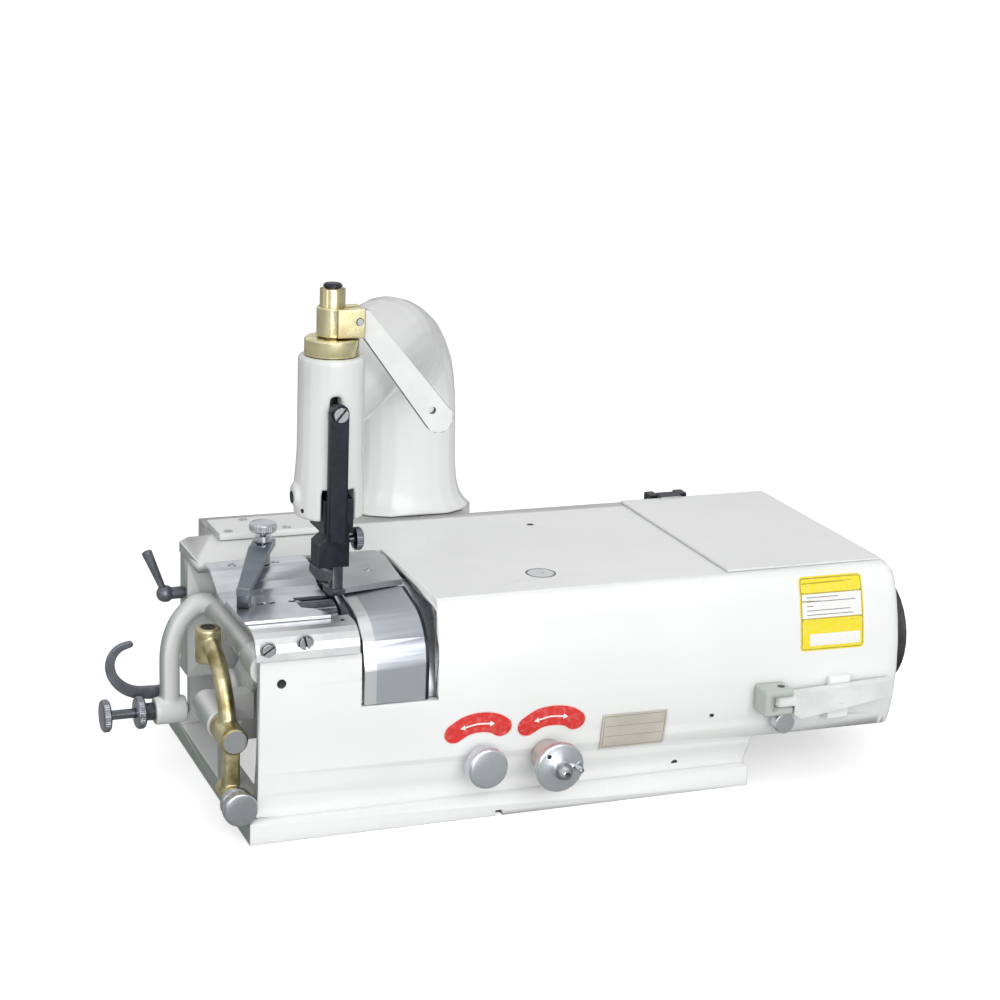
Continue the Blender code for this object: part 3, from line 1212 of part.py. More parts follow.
def make_stone_pieces():
    stone = ring(stone_at(STONE_LEFT), (1, 0, 0), STONE_WIDTH, STONE_RADIUS,
                 STONE_SPINDLE_RADIUS + GAP, chamfer=OVERRUN)
    finish("grinding_stone", stone, "stone", stone_at(STONE_LEFT))
    spindle_left = STONE_LEFT - STONE_SPINDLE_NOSE
    spindle = rod(stone_at(spindle_left), stone_at(STONE_SPINDLE_RIGHT), STONE_SPINDLE_RADIUS,
                  sides=SMALL_SIDES, chamfer=OVERRUN)
    finish("stone_spindle", spindle, "steel", stone_at(spindle_left))
    carriage = rod(stone_at(CARRIAGE_LEFT), stone_at(CARRIAGE_RIGHT), CARRIAGE_RADIUS)
    arm_left = STONE_KNOB_X - CARRIAGE_ARM_WIDTH / 2
    arm_bottom = STONE_Z - CARRIAGE_ARM_DROP
    rack_back = STONE_PINION_Y + PINION_WIDTH / 2
    fuse(carriage, box((arm_left, rack_back - PINION_WIDTH, arm_bottom),
                       (arm_left + CARRIAGE_ARM_WIDTH, STONE_Y - CARRIAGE_RADIUS / 2,
                        arm_bottom + CARRIAGE_ARM_THICK)))
    fuse(carriage, make_rack(STONE_KNOB_X, STONE_PINION_Y, arm_bottom + OVERRUN))
    cut(carriage, rod(stone_at(CARRIAGE_LEFT - OVERRUN), stone_at(CARRIAGE_RIGHT + OVERRUN),
                      STONE_SPINDLE_RADIUS + GAP, sides=SMALL_SIDES))
    finish("stone_carriage", carriage, "dark_steel", stone_at(CARRIAGE_LEFT))
    pulley = ring(stone_at(STONE_PULLEY_LEFT), (1, 0, 0), STONE_PULLEY_WIDTH, STONE_PULLEY_RADIUS,
                  STONE_SPINDLE_RADIUS + GAP, chamfer=OVERRUN)
    finish("stone_pulley", pulley, "cast_black", stone_at(STONE_PULLEY_LEFT))


def make_feed_pieces():
    start = (FEED_SHAFT_LEFT, FEED_Y, FEED_Z)
    shaft = rod(start, (FEED_SHAFT_RIGHT, FEED_Y, FEED_Z), FEED_SHAFT_RADIUS, sides=SMALL_SIDES,
                chamfer=GAP)
    fuse(shaft, rod((BELT_LEFT - GAP, FEED_Y, FEED_Z), (BELT_LEFT + BELT_WIDTH + GAP, FEED_Y, FEED_Z),
                    FEED_WHEEL_RADIUS))
    finish("feed_shaft", shaft, "steel", start)
    pulley = ring((FEED_PULLEY_LEFT, FEED_Y, FEED_Z), (1, 0, 0), FEED_PULLEY_WIDTH,
                  FEED_PULLEY_RADIUS, FEED_SHAFT_RADIUS + GAP, chamfer=OVERRUN)
    finish("feed_pulley", pulley, "cast_black", (FEED_PULLEY_LEFT, FEED_Y, FEED_Z))
    outer = hull_of_circles((FEED_Y, FEED_Z), FEED_WHEEL_RADIUS + GAP + BELT_THICK,
                            (ROLLER_Y, ROLLER_Z), ROLLER_WHEEL_RADIUS + GAP + BELT_THICK, 12)
    inner = hull_of_circles((FEED_Y, FEED_Z), FEED_WHEEL_RADIUS + GAP,
                            (ROLLER_Y, ROLLER_Z), ROLLER_WHEEL_RADIUS + GAP, 12)
    belt = extruded(outer, "X", BELT_LEFT, BELT_LEFT + BELT_WIDTH)
    cut(belt, extruded(inner, "X", BELT_LEFT - OVERRUN, BELT_LEFT + BELT_WIDTH + OVERRUN))
    finish("feed_belt", belt, "rubber")
    roller_start = (ROLLER_SHAFT_LEFT, ROLLER_Y, ROLLER_Z)
    shaft = rod(roller_start, (ROLLER_LEFT + ROLLER_LENGTH + GAP, ROLLER_Y, ROLLER_Z),
                ROLLER_SHAFT_RADIUS, sides=SMALL_SIDES, chamfer=GAP)
    fuse(shaft, rod((BELT_LEFT - GAP, ROLLER_Y, ROLLER_Z),
                    (BELT_LEFT + BELT_WIDTH + GAP, ROLLER_Y, ROLLER_Z), ROLLER_WHEEL_RADIUS))
    finish("roller_shaft", shaft, "steel", roller_start)
    outline = []
    for index in range(ROLLER_GROOVES):
        for half, radius in ((-ROLLER_LAND_SHARE, ROLLER_RADIUS),
                             (ROLLER_LAND_SHARE, ROLLER_RADIUS),
                             (0.5, ROLLER_RADIUS - ROLLER_GROOVE_DEPTH)):
            turn = 2 * math.pi * (index + half) / ROLLER_GROOVES
            outline.append((ROLLER_Y + radius * math.cos(turn), ROLLER_Z + radius * math.sin(turn)))
    roller = extruded(outline, "X", ROLLER_LEFT, ROLLER_LEFT + ROLLER_LENGTH)
    cut(roller, rod((ROLLER_LEFT - OVERRUN, ROLLER_Y, ROLLER_Z),
                    (ROLLER_LEFT + ROLLER_LENGTH + OVERRUN, ROLLER_Y, ROLLER_Z),
                    ROLLER_SHAFT_RADIUS + GAP, sides=SMALL_SIDES))
    finish("feed_roller", roller, "dark_steel", (ROLLER_LEFT, ROLLER_Y, ROLLER_Z))


def make_belt_case():
    """The casting at the left end: belt case, lever pivot, round boss and foot."""
    low_inner = FEED_WHEEL_RADIUS + BELT_THICK + 4 * GAP
    high_inner = ROLLER_WHEEL_RADIUS + BELT_THICK + 2 * GAP
    outer = hull_of_circles((FEED_Y, FEED_Z), low_inner + CASE_SKIN, (ROLLER_Y, ROLLER_Z),
                            high_inner + CASE_SKIN, 12)
    inner = hull_of_circles((FEED_Y, FEED_Z), low_inner, (ROLLER_Y, ROLLER_Z), high_inner, 12)
    case = extruded(outer, "X", CASE_LEFT, CASE_RIGHT)
    fuse(case, turned((BARREL_LEFT, BARREL_Y, BARREL_Z), (1, 0, 0),
                      [(0.0, 0.0), (0.0, BARREL_RADIUS - BARREL_ROUND),
                       (BARREL_ROUND * 0.3, BARREL_RADIUS - BARREL_ROUND * 0.3),
                       (BARREL_ROUND, BARREL_RADIUS),
                       (CASE_LEFT - BARREL_LEFT + OVERRUN, BARREL_RADIUS),
                       (CASE_LEFT - BARREL_LEFT + OVERRUN, 0.0)]))
    fuse(case, box((0.0, PEDESTAL_FRONT, BASE_HEIGHT + GAP),
                   (PEDESTAL_RIGHT, PEDESTAL_FRONT + PEDESTAL_WIDTH, PIVOT_Z)))
    fuse(case, box((PIVOT_X, LINK_FRONT, LINK_BOTTOM),
                   (CASE_LEFT + CASE_SKIN, LINK_BACK, LINK_TOP), round_edges=OVERRUN))
    fuse(case, rod((PIVOT_X, PIVOT_FRONT, PIVOT_Z), (PIVOT_X, PIVOT_BACK + OVERRUN, PIVOT_Z),
                   PIVOT_RADIUS, chamfer=OVERRUN))
    cut(case, extruded(inner, "X", CASE_LEFT + CASE_SKIN, CASE_RIGHT + OVERRUN))
    fuse(case, rod((CASE_LEFT - CASE_BOSS_LENGTH, ROLLER_Y, ROLLER_Z),
                   (CASE_LEFT + CASE_SKIN + CASE_BOSS_LENGTH, ROLLER_Y, ROLLER_Z),
                   ROLLER_SHAFT_RADIUS + CASE_BOSS_SKIN))
    fuse(case, rod((FEED_SHAFT_LEFT - CASE_BOSS_LENGTH, FEED_Y, FEED_Z),
                   (CASE_LEFT + CASE_SKIN + CASE_BOSS_LENGTH, FEED_Y, FEED_Z),
                   FEED_SHAFT_RADIUS + CASE_BOSS_SKIN))
    cut(case, rod((ROLLER_SHAFT_LEFT - GAP, ROLLER_Y, ROLLER_Z), (CASE_RIGHT, ROLLER_Y, ROLLER_Z),
                  ROLLER_SHAFT_RADIUS + GAP, sides=SMALL_SIDES))
    cut(case, rod((FEED_SHAFT_LEFT - GAP, FEED_Y, FEED_Z), (CASE_RIGHT, FEED_Y, FEED_Z),
                  FEED_SHAFT_RADIUS + GAP, sides=SMALL_SIDES))
    cut(case, rod((PIVOT_X, PIVOT_FRONT - OVERRUN, PIVOT_Z),
                  (PIVOT_X, PIVOT_FRONT + BRASS_PIN_DEPTH + GAP, PIVOT_Z),
                  BRASS_PIN_RADIUS + GAP, sides=SMALL_SIDES))
    return finish("belt_case", case, "enamel")


def arm_points():
    arm_rise = POST_TOP - BODY_TOP - ARM_CROWN_DROP
    start = Vector((COLUMN_X, COLUMN_Y, BODY_TOP + GAP))
    end = Vector((POST_X, POST_Y, start.z))
    points = []
    radii = []
    for across, rise, radius in ARM_SHARES:
        points.append(start.lerp(end, across) + Vector((0, 0, arm_rise * rise)))
        radii.append(COLUMN_RADIUS * radius)
    return points, radii


def make_arm_casting():
    points, radii = arm_points()
    fine = smooth_line(points, 2)
    fine_radii = []
    for index in range(len(radii) - 1):
        fine_radii += [radii[index], 0.5 * (radii[index] + radii[index + 1])]
    fine_radii.append(radii[-1])
    arm = swept(fine, fine_radii, ARM_SIDES)
    for vertex in arm.data.vertices:
        rise = vertex.co.z - BODY_TOP
        if vertex.co.y > BODY_BACK:
            vertex.co.y = BODY_BACK + (vertex.co.y - BODY_BACK) * ARM_BACK_SHARE
        if rise < COLUMN_FOOT_RISE:
            vertex.co.y = max(vertex.co.y, BODY_BACK + max(rise, 0.0) * COLUMN_FOOT_SLOPE_SHARE)
    cut(arm, box((COLUMN_X - 2 * COLUMN_FOOT_RADIUS, COLUMN_Y - 2 * COLUMN_FOOT_RADIUS,
                  BODY_TOP - COLUMN_FOOT_RADIUS),
                 (COLUMN_X + 2 * COLUMN_FOOT_RADIUS, COLUMN_Y + 2 * COLUMN_FOOT_RADIUS,
                  BODY_TOP + GAP)))
    post_profile = [(0.0, 0.0), (0.0, POST_RADIUS + POST_FLARE),
                    (POST_SLOT_TOP - POST_BOTTOM, POST_RADIUS + POST_FLARE),
                    (POST_SLOT_TOP - POST_BOTTOM + POST_RADIUS, POST_RADIUS),
                    (POST_TOP - POST_BOTTOM - OVERRUN, POST_RADIUS),
                    (POST_TOP - POST_BOTTOM, POST_RADIUS - OVERRUN), (POST_TOP - POST_BOTTOM, 0.0)]
    fuse(arm, turned((POST_X, POST_Y, POST_BOTTOM), (0, 0, 1), post_profile))
    fuse(arm, rod((POST_X - POST_CLAMP_REACH, POST_Y, POST_CLAMP_Z), (POST_X, POST_Y, POST_CLAMP_Z),
                  POST_CLAMP_RADIUS, sides=SMALL_SIDES))
    cut(arm, rod((POST_X, POST_Y, POST_BOTTOM - OVERRUN), (POST_X, POST_Y, POST_TOP + OVERRUN),
                 BAR_RADIUS + GAP))
    cut(arm, rod((POST_X, POST_Y, SPRING_CAVITY_BOTTOM), (POST_X, POST_Y, POST_TOP + OVERRUN),
                 SPRING_CAVITY_RADIUS))
    cut(arm, rod((POST_X, POST_Y, POST_TOP - COLLAR_SPIGOT_LENGTH - GAP),
                 (POST_X, POST_Y, POST_TOP + OVERRUN), COLLAR_SPIGOT_RADIUS + GAP))
    slot_half = POST_SLOT_WIDTH / 2
    front = POST_Y - 2 * POST_RADIUS
    cut(arm, box((POST_X - slot_half, front, POST_BOTTOM - OVERRUN),
                 (POST_X + slot_half, POST_Y + POST_SLOT_BACK, POST_SLOT_TOP)))
    notch_half = POST_NOTCH_WIDTH / 2
    cut(arm, box((HANGER_X - notch_half, front, HANGER_SCREW_Z - POST_NOTCH_BELOW),
                 (HANGER_X + notch_half, POST_Y, HANGER_SCREW_Z + POST_NOTCH_ABOVE)))
    return finish("arm_casting", arm, "enamel", angle=45.0)


def bar_at(z):
    return (POST_X, POST_Y, z)


def make_presser_pieces():
    bar_bottom = GUIDE_BLOCK_TOP + GAP
    bar = rod(bar_at(bar_bottom), bar_at(BAR_TOP), BAR_RADIUS)
    fuse(bar, rod(bar_at(SHOULDER_Z), bar_at(SHOULDER_Z + SHOULDER_THICK), SHOULDER_RADIUS))
    finish("presser_bar", bar, "brass", bar_at(bar_bottom))
    cap = rod(bar_at(BAR_TOP + GAP), bar_at(BAR_TOP + GAP + BAR_CAP_HEIGHT), BAR_CAP_RADIUS,
              chamfer=OVERRUN)
    finish("bar_cap", cap, "black_steel", bar_at(BAR_TOP))
    spigot_bottom = POST_TOP - COLLAR_SPIGOT_LENGTH
    lip = POST_TOP + GAP - spigot_bottom
    height = COLLAR_TOP - spigot_bottom
    profile = [(0.0, SPRING_CAVITY_RADIUS - GAP), (0.0, COLLAR_SPIGOT_RADIUS),
               (lip, COLLAR_SPIGOT_RADIUS), (lip, COLLAR_RADIUS), (height - OVERRUN, COLLAR_RADIUS),
               (height, COLLAR_RADIUS - OVERRUN), (height, BAR_RADIUS + GAP),
               (height - COLLAR_CEILING, BAR_RADIUS + GAP),
               (height - COLLAR_CEILING, SPRING_CAVITY_RADIUS - GAP)]
    collar = turned(bar_at(spigot_bottom), (0, 0, 1), profile)
    for side in (-1, 1):
        x = POST_X + side * COLLAR_HOLE_REACH * 0.7
        y = POST_Y - COLLAR_HOLE_REACH * 0.7
        cut(collar, rod((x, y, COLLAR_TOP - COLLAR_HOLE_DEPTH), (x, y, COLLAR_TOP + OVERRUN),
                        COLLAR_HOLE_RADIUS, sides=SMALL_SIDES // 2))
    finish("bar_collar", collar, "brass", bar_at(spigot_bottom))
    make_presser_spring()


def make_presser_spring():
    """A coil between the bar's shoulder and the collar's ceiling."""
    bottom = SHOULDER_Z + SHOULDER_THICK + SPRING_WIRE + GAP
    top = COLLAR_TOP - COLLAR_CEILING - SPRING_WIRE - GAP
    count = SPRING_TURNS * SPRING_POINTS
    points = []
    for index in range(count + 1):
        turn = 2 * math.pi * index / SPRING_POINTS
        points.append((POST_X + SPRING_RADIUS * math.cos(turn),
                       POST_Y + SPRING_RADIUS * math.sin(turn),
                       bottom + (top - bottom) * index / count))
    spring = swept(points, [SPRING_WIRE] * len(points), SPRING_SIDES)
    finish("presser_spring", spring, "steel", bar_at(bottom), angle=80.0)
    pitch = (top - bottom) / SPRING_TURNS
    print("least gap between turns in mm:", round(1000 * (pitch - 2 * SPRING_WIRE), 2))


def make_lifter_pieces():
    block = rod(bar_at(LIFTER_BLOCK_BOTTOM), bar_at(LIFTER_BLOCK_TOP), LIFTER_RING_RADIUS,
                chamfer=OVERRUN)
    fuse(block, box((POST_X, LIFTER_CHEEK_OUTER, LIFTER_BLOCK_BOTTOM + GAP),
                    (LIFTER_BLOCK_RIGHT, LIFTER_CHEEK_OUTER + LIFTER_CHEEK_WIDTH,
                     LIFTER_BLOCK_TOP - GAP), round_edges=OVERRUN))
    cut(block, rod(bar_at(LIFTER_BLOCK_BOTTOM - OVERRUN), bar_at(LIFTER_BLOCK_TOP + OVERRUN),
                   BAR_RADIUS + GAP))
    cut(block, box((LIFTER_SLOT_LEFT - LEVER_HEAD_RADIUS / 2, LIFTER_SLOT_FRONT,
                    LIFTER_BLOCK_BOTTOM - OVERRUN),
                   (LIFTER_BLOCK_RIGHT + OVERRUN, LIFTER_SLOT_FRONT + LIFTER_SLOT_WIDTH,
                    LIFTER_BLOCK_TOP + OVERRUN)))
    cheek_back = LIFTER_CHEEK_OUTER + LIFTER_CHEEK_WIDTH
    cut(block, rod((LIFTER_PIN_X, LIFTER_CHEEK_OUTER - OVERRUN, LIFTER_PIN_Z),
                   (LIFTER_PIN_X, cheek_back + OVERRUN, LIFTER_PIN_Z), LIFTER_PIN_RADIUS + GAP,
                   sides=SMALL_SIDES))
    finish("lifter_block", block, "brass", bar_at(LIFTER_BLOCK_BOTTOM))
    pin_front = (LIFTER_PIN_X, LIFTER_CHEEK_OUTER - OVERRUN, LIFTER_PIN_Z)
    pin = rod(pin_front, (LIFTER_PIN_X, cheek_back + OVERRUN, LIFTER_PIN_Z), LIFTER_PIN_RADIUS,
              sides=SMALL_SIDES)
    finish("lifter_pin", pin, "steel", pin_front)
    outline = hull_of_circles((LIFTER_PIN_X + LEVER_HEEL_X, LIFTER_PIN_Z + LEVER_HEEL_Z),
                              LEVER_HEEL_RADIUS, (LEVER_END_X, LEVER_END_Z), LEVER_END_RADIUS, 10)
    front = LIFTER_SLOT_FRONT + (LIFTER_SLOT_WIDTH - LEVER_THICK) / 2
    lever = extruded(outline, "Y", front, front + LEVER_THICK)
    fuse(lever, rod((LIFTER_PIN_X, front, LIFTER_PIN_Z),
                    (LIFTER_PIN_X, front + LEVER_THICK, LIFTER_PIN_Z), LEVER_HEAD_RADIUS))
    hole_x = LIFTER_PIN_X + (LEVER_END_X - LIFTER_PIN_X) * LEVER_HOLE_SHARE
    hole_z = LIFTER_PIN_Z - LEVER_DROP * LEVER_HOLE_SHARE
    for x, z, radius in ((LIFTER_PIN_X, LIFTER_PIN_Z, LIFTER_PIN_RADIUS + GAP),
                         (hole_x, hole_z, LEVER_HOLE_RADIUS)):
        cut(lever, rod((x, front - OVERRUN, z), (x, front + LEVER_THICK + OVERRUN, z), radius,
                       sides=SMALL_SIDES))
    finish("lifter_lever", lever, "enamel", (LIFTER_PIN_X, front, LIFTER_PIN_Z))


def make_hanger_pieces():
    back = POST_Y - POST_RADIUS - POST_FLARE - GAP
    front = back - HANGER_THICK
    half = HANGER_WIDTH / 2
    outline = hull_of_circles((HANGER_X, HANGER_SCREW_Z), half, (HANGER_X, HANGER_BOTTOM), half)
    hanger = extruded(outline, "Y", front, back)
    holder_top = POST_BOTTOM - OVERRUN
    neck = [(HOLDER_NECK_LEFT, holder_top), (HOLDER_RIGHT, holder_top),
            (HOLDER_RIGHT, HOLDER_BOTTOM), (HOLDER_LEFT, HOLDER_BOTTOM),
            (HOLDER_LEFT, HOLDER_SHOULDER), (HOLDER_NECK_LEFT, HOLDER_NECK_Z)]
    fuse(hanger, extruded(neck, "Y", HOLDER_FRONT - OVERRUN, HOLDER_BACK))
    block_half = GUIDE_BLOCK_WIDTH / 2
    fuse(hanger, box((POST_X - block_half, back - OVERRUN + 2 * POST_FLARE, GUIDE_BLOCK_BOTTOM),
                     (POST_X + block_half, GUIDE_BLOCK_BACK, GUIDE_BLOCK_TOP)))
    fuse(hanger, box((HANGER_X - half, back - OVERRUN, GUIDE_BLOCK_BOTTOM),
                     (HANGER_X + half, back + 4 * POST_FLARE, GUIDE_BLOCK_TOP - OVERRUN)))
    cut(hanger, rod((HANGER_X, front - OVERRUN, HANGER_SCREW_Z),
                    (HANGER_X, back + OVERRUN, HANGER_SCREW_Z), HANGER_SCREW_RADIUS + GAP,
                    sides=SMALL_SIDES))
    cut(hanger, rod((HOLDER_RIGHT - FOOT_SCREW_LENGTH, FOOT_SCREW_Y, FOOT_SCREW_Z),
                    (HOLDER_RIGHT + OVERRUN, FOOT_SCREW_Y, FOOT_SCREW_Z), FOOT_SCREW_SHANK + GAP,
                    sides=SMALL_SIDES))
    socket_top = HOLDER_BOTTOM + FOOT_SOCKET_DEPTH
    cut(hanger, box((FOOT_NECK_LEFT - GAP, FOOT_NECK_FRONT - GAP, HOLDER_BOTTOM - OVERRUN),
                    (FOOT_NECK_RIGHT + GAP, FOOT_NECK_BACK + GAP, socket_top)))
    finish("presser_hanger", hanger, "black_steel", (HANGER_X, front, HANGER_SCREW_Z))
    head_front = front - GAP - HANGER_SCREW_HEAD_THICK
    screw = rod((HANGER_X, head_front, HANGER_SCREW_Z), (HANGER_X, front - GAP, HANGER_SCREW_Z),
                HANGER_SCREW_HEAD, sides=SMALL_SIDES)
    fuse(screw, rod((HANGER_X, front - GAP - OVERRUN, HANGER_SCREW_Z),
                    (HANGER_X, POST_Y - BAR_RADIUS - GAP, HANGER_SCREW_Z), HANGER_SCREW_RADIUS,
                    sides=SMALL_SIDES))
    slot_half = HANGER_SCREW_HEAD / 8
    cut(screw, box((HANGER_X - 2 * HANGER_SCREW_HEAD, head_front - OVERRUN,
                    HANGER_SCREW_Z - slot_half),
                   (HANGER_X + 2 * HANGER_SCREW_HEAD, head_front + HANGER_SCREW_HEAD_THICK / 2,
                    HANGER_SCREW_Z + slot_half)))
    finish("hanger_screw", screw, "steel", (HANGER_X, head_front, HANGER_SCREW_Z))
    shank_left = (HOLDER_RIGHT - FOOT_SCREW_LENGTH + GAP, FOOT_SCREW_Y, FOOT_SCREW_Z)
    disc_left = HOLDER_RIGHT + FOOT_SCREW_THICK
    screw = rod(shank_left, (disc_left + OVERRUN, FOOT_SCREW_Y, FOOT_SCREW_Z), FOOT_SCREW_SHANK,
                sides=SMALL_SIDES)
    fuse(screw, rod((disc_left, FOOT_SCREW_Y, FOOT_SCREW_Z),
                    (disc_left + FOOT_SCREW_THICK, FOOT_SCREW_Y, FOOT_SCREW_Z), FOOT_SCREW_RADIUS,
                    chamfer=OVERRUN))
    finish("foot_screw", screw, "dark_steel", shank_left)
    sole_top = FOOT_BOTTOM + FOOT_SOLE_THICK
    side = [(FOOT_FRONT, FOOT_BOTTOM + FOOT_TOE_RISE),
            (FOOT_FRONT + FOOT_TOE_RISE, FOOT_BOTTOM + FOOT_TOE_RISE / 4),
            (FOOT_FRONT + 2 * FOOT_TOE_RISE, FOOT_BOTTOM), (FOOT_BACK, FOOT_BOTTOM),
            (FOOT_BACK, sole_top), (FOOT_NECK_FRONT, sole_top + FOOT_TOE_RISE / 2),
            (FOOT_FRONT, FOOT_BOTTOM + FOOT_TOE_RISE + FOOT_SOLE_THICK / 2)]
    foot = extruded(side, "X", FOOT_LEFT, FOOT_RIGHT)
    nut = rod((FOOT_NUT_X, FOOT_NECK_FRONT + GAP, FOOT_NUT_Z),
              (FOOT_NUT_X, FOOT_NECK_BACK - GAP, FOOT_NUT_Z), FOOT_NUT_RADIUS)
    cut(nut, box((HOLDER_LEFT - FOOT_NUT_RADIUS, HOLDER_FRONT, HOLDER_BOTTOM - GAP),
                 (HOLDER_RIGHT, HOLDER_BACK, HOLDER_SHOULDER)))
    fuse(foot, nut, box((FOOT_NECK_LEFT, FOOT_NECK_FRONT, sole_top - OVERRUN),
                        (FOOT_NECK_RIGHT, FOOT_NECK_BACK, socket_top - GAP)))
    finish("presser_foot", foot, "dark_steel", (FOOT_NECK_LEFT, FOOT_NECK_FRONT, HOLDER_BOTTOM))


def swing_tube_points():
    start = Vector((SWING_X, SWING_TUBE_Y - SWING_HUB_RADIUS, SWING_Z))
    drop = SWING_Z - SWING_BOSS_Z
    points = []
    for out, back, down in SWING_PATH_SHARES:
        points.append((start.x + (SWING_TUBE_X - start.x) * out,
                       start.y + (SWING_TUBE_Y - start.y) * back, SWING_Z - drop * down))
    return points


def make_swing_pieces():
    pivot = (SWING_X, SWING_NOSE_FRONT, SWING_Z)
    hub_back = SWING_TUBE_Y
    frame = turned(pivot, (0, 1, 0),
                   [(0.0, 0.0), (0.0, SWING_NOSE_RADIUS - OVERRUN), (OVERRUN, SWING_NOSE_RADIUS),
                    (SWING_NOSE_BACK - SWING_NOSE_FRONT, SWING_NOSE_RADIUS),
                    (SWING_NOSE_BACK - SWING_NOSE_FRONT + SWING_NOSE_RADIUS, SWING_HUB_RADIUS),
                    (hub_back - SWING_NOSE_FRONT, SWING_HUB_RADIUS),
                    (hub_back - SWING_NOSE_FRONT, 0.0)])
    line = smooth_line(swing_tube_points(), 2)
    fuse(frame, swept(line, [SWING_TUBE_RADIUS] * len(line), SMALL_SIDES))
    boss_left = SWING_TUBE_X - SWING_BOSS_LENGTH / 2
    boss_right = SWING_TUBE_X + SWING_BOSS_LENGTH / 2
    fuse(frame, rod((boss_left, SWING_TUBE_Y, SWING_BOSS_Z), (boss_right, SWING_TUBE_Y, SWING_BOSS_Z),
                    SWING_BOSS_RADIUS, chamfer=OVERRUN))
    cut(frame, rod((SWING_X, SWING_NOSE_FRONT - OVERRUN, SWING_Z),
                   (SWING_X, hub_back + SWING_TUBE_RADIUS, SWING_Z), SWING_PIN_RADIUS + GAP,
                   sides=SMALL_SIDES))
    cut(frame, rod((boss_left - OVERRUN, SWING_TUBE_Y, SWING_BOSS_Z),
                   (boss_right + OVERRUN, SWING_TUBE_Y, SWING_BOSS_Z), TILT_SCREW_RADIUS + GAP,
                   sides=SMALL_SIDES))
    hook_pin_back = HOOK_Y + HOOK_THICK + GAP
    fuse(frame, rod((HOOK_PIVOT_X, SWING_TUBE_Y + SWING_TUBE_RADIUS / 2, HOOK_PIVOT_Z),
                    (HOOK_PIVOT_X, hook_pin_back, HOOK_PIVOT_Z), HOOK_PIN_RADIUS,
                    sides=SMALL_SIDES))
    finish("swing_frame", frame, "enamel", (SWING_X, SWING_NOSE_FRONT, SWING_Z), angle=45.0)
    pin_front = (SWING_X, SWING_PIN_FRONT, SWING_Z)
    pin = rod(pin_front, (SWING_X, SWING_PIN_BACK, SWING_Z), SWING_PIN_RADIUS, sides=SMALL_SIDES,
              chamfer=GAP)
    finish("swing_pin", pin, "steel", pin_front)
    screw_left = (TILT_SCREW_LEFT, SWING_TUBE_Y, SWING_BOSS_Z)
    screw = rod(screw_left, (TILT_SCREW_LEFT + TILT_DISC_THICK, SWING_TUBE_Y, SWING_BOSS_Z),
                TILT_DISC_RADIUS, chamfer=OVERRUN)
    fuse(screw, rod((TILT_SCREW_LEFT + TILT_DISC_THICK - OVERRUN, SWING_TUBE_Y, SWING_BOSS_Z),
                    (boss_right + 2 * OVERRUN, SWING_TUBE_Y, SWING_BOSS_Z), TILT_SCREW_RADIUS,
                    sides=SMALL_SIDES))
    finish("tilt_screw", screw, "dark_steel", screw_left)
    disc_left = (LOCK_DISC_LEFT, SWING_TUBE_Y, SWING_BOSS_Z)
    disc = ring(disc_left, (1, 0, 0), LOCK_DISC_THICK, TILT_DISC_RADIUS, TILT_SCREW_RADIUS + GAP,
                chamfer=OVERRUN)
    bush_left = LOCK_DISC_LEFT + LOCK_DISC_THICK - OVERRUN
    fuse(disc, ring((bush_left, SWING_TUBE_Y, SWING_BOSS_Z), (1, 0, 0), boss_left - GAP - bush_left,
                    TILT_BUSH_RADIUS, TILT_SCREW_RADIUS + GAP))
    finish("lock_disc", disc, "dark_steel", disc_left)
    line = [(HOOK_PIVOT_X - HOOK_REACH * out, HOOK_PIVOT_Z + HOOK_HEIGHT * up)
            for out, up in HOOK_SHARES]
    flat = [(point.x, point.y) for point in smooth_line([(a, b, 0.0) for a, b in line], 3)]
    outline = band_outline(flat, HOOK_ROOT_HALF, HOOK_TIP_HALF)
    hook = extruded(outline, "Y", HOOK_Y, HOOK_Y + HOOK_THICK)
    fuse(hook, rod((flat[-1][0], HOOK_Y, flat[-1][1]), (flat[-1][0], HOOK_Y + HOOK_THICK,
                                                       flat[-1][1]), HOOK_TIP_HALF, sides=SMALL_SIDES))
    fuse(hook, rod((HOOK_PIVOT_X, HOOK_Y, HOOK_PIVOT_Z), (HOOK_PIVOT_X, HOOK_Y + HOOK_THICK,
                                                        HOOK_PIVOT_Z), HOOK_EYE_RADIUS))
    cut(hook, rod((HOOK_PIVOT_X, HOOK_Y - OVERRUN, HOOK_PIVOT_Z),
                  (HOOK_PIVOT_X, HOOK_Y + HOOK_THICK + OVERRUN, HOOK_PIVOT_Z),
                  HOOK_PIN_RADIUS + GAP, sides=SMALL_SIDES))
    finish("hook", hook, "dark_steel", (HOOK_PIVOT_X, HOOK_Y, HOOK_PIVOT_Z))


def make_ball_lever():
    centre = Vector((BALL_X, BALL_LEVER_Y, BALL_LEVER_Z))
    steps = 8
    profile = []
    for step in range(steps + 1):
        turn = math.pi * step / steps
        profile.append((-BALL_RADIUS * math.cos(turn), BALL_RADIUS * math.sin(turn)))
    profile[0] = (profile[0][0], 0.0)
    profile[-1] = (profile[-1][0], 0.0)
    lever = turned(centre, (1, 0, 0), profile, SMALL_SIDES)
    collar_right = (BLOCK_LEFT - GAP, centre.y, centre.z)
    fuse(lever, rod(centre, collar_right, BALL_COLLAR_RADIUS, sides=SMALL_SIDES))
    fuse(lever, rod((BLOCK_LEFT - OVERRUN, centre.y, centre.z),
                    (BLOCK_LEFT + BALL_STEM_DEPTH, centre.y, centre.z), BALL_STEM_RADIUS,
                    sides=SMALL_SIDES))
    tip = centre + Vector((-BALL_HANDLE_OUT, 0.0, BALL_HANDLE_RISE))
    fuse(lever, rod(centre, tip, BALL_HANDLE_ROOT, BALL_HANDLE_TIP, sides=SMALL_SIDES))
    return finish("ball_lever", lever, "dark_steel", centre)


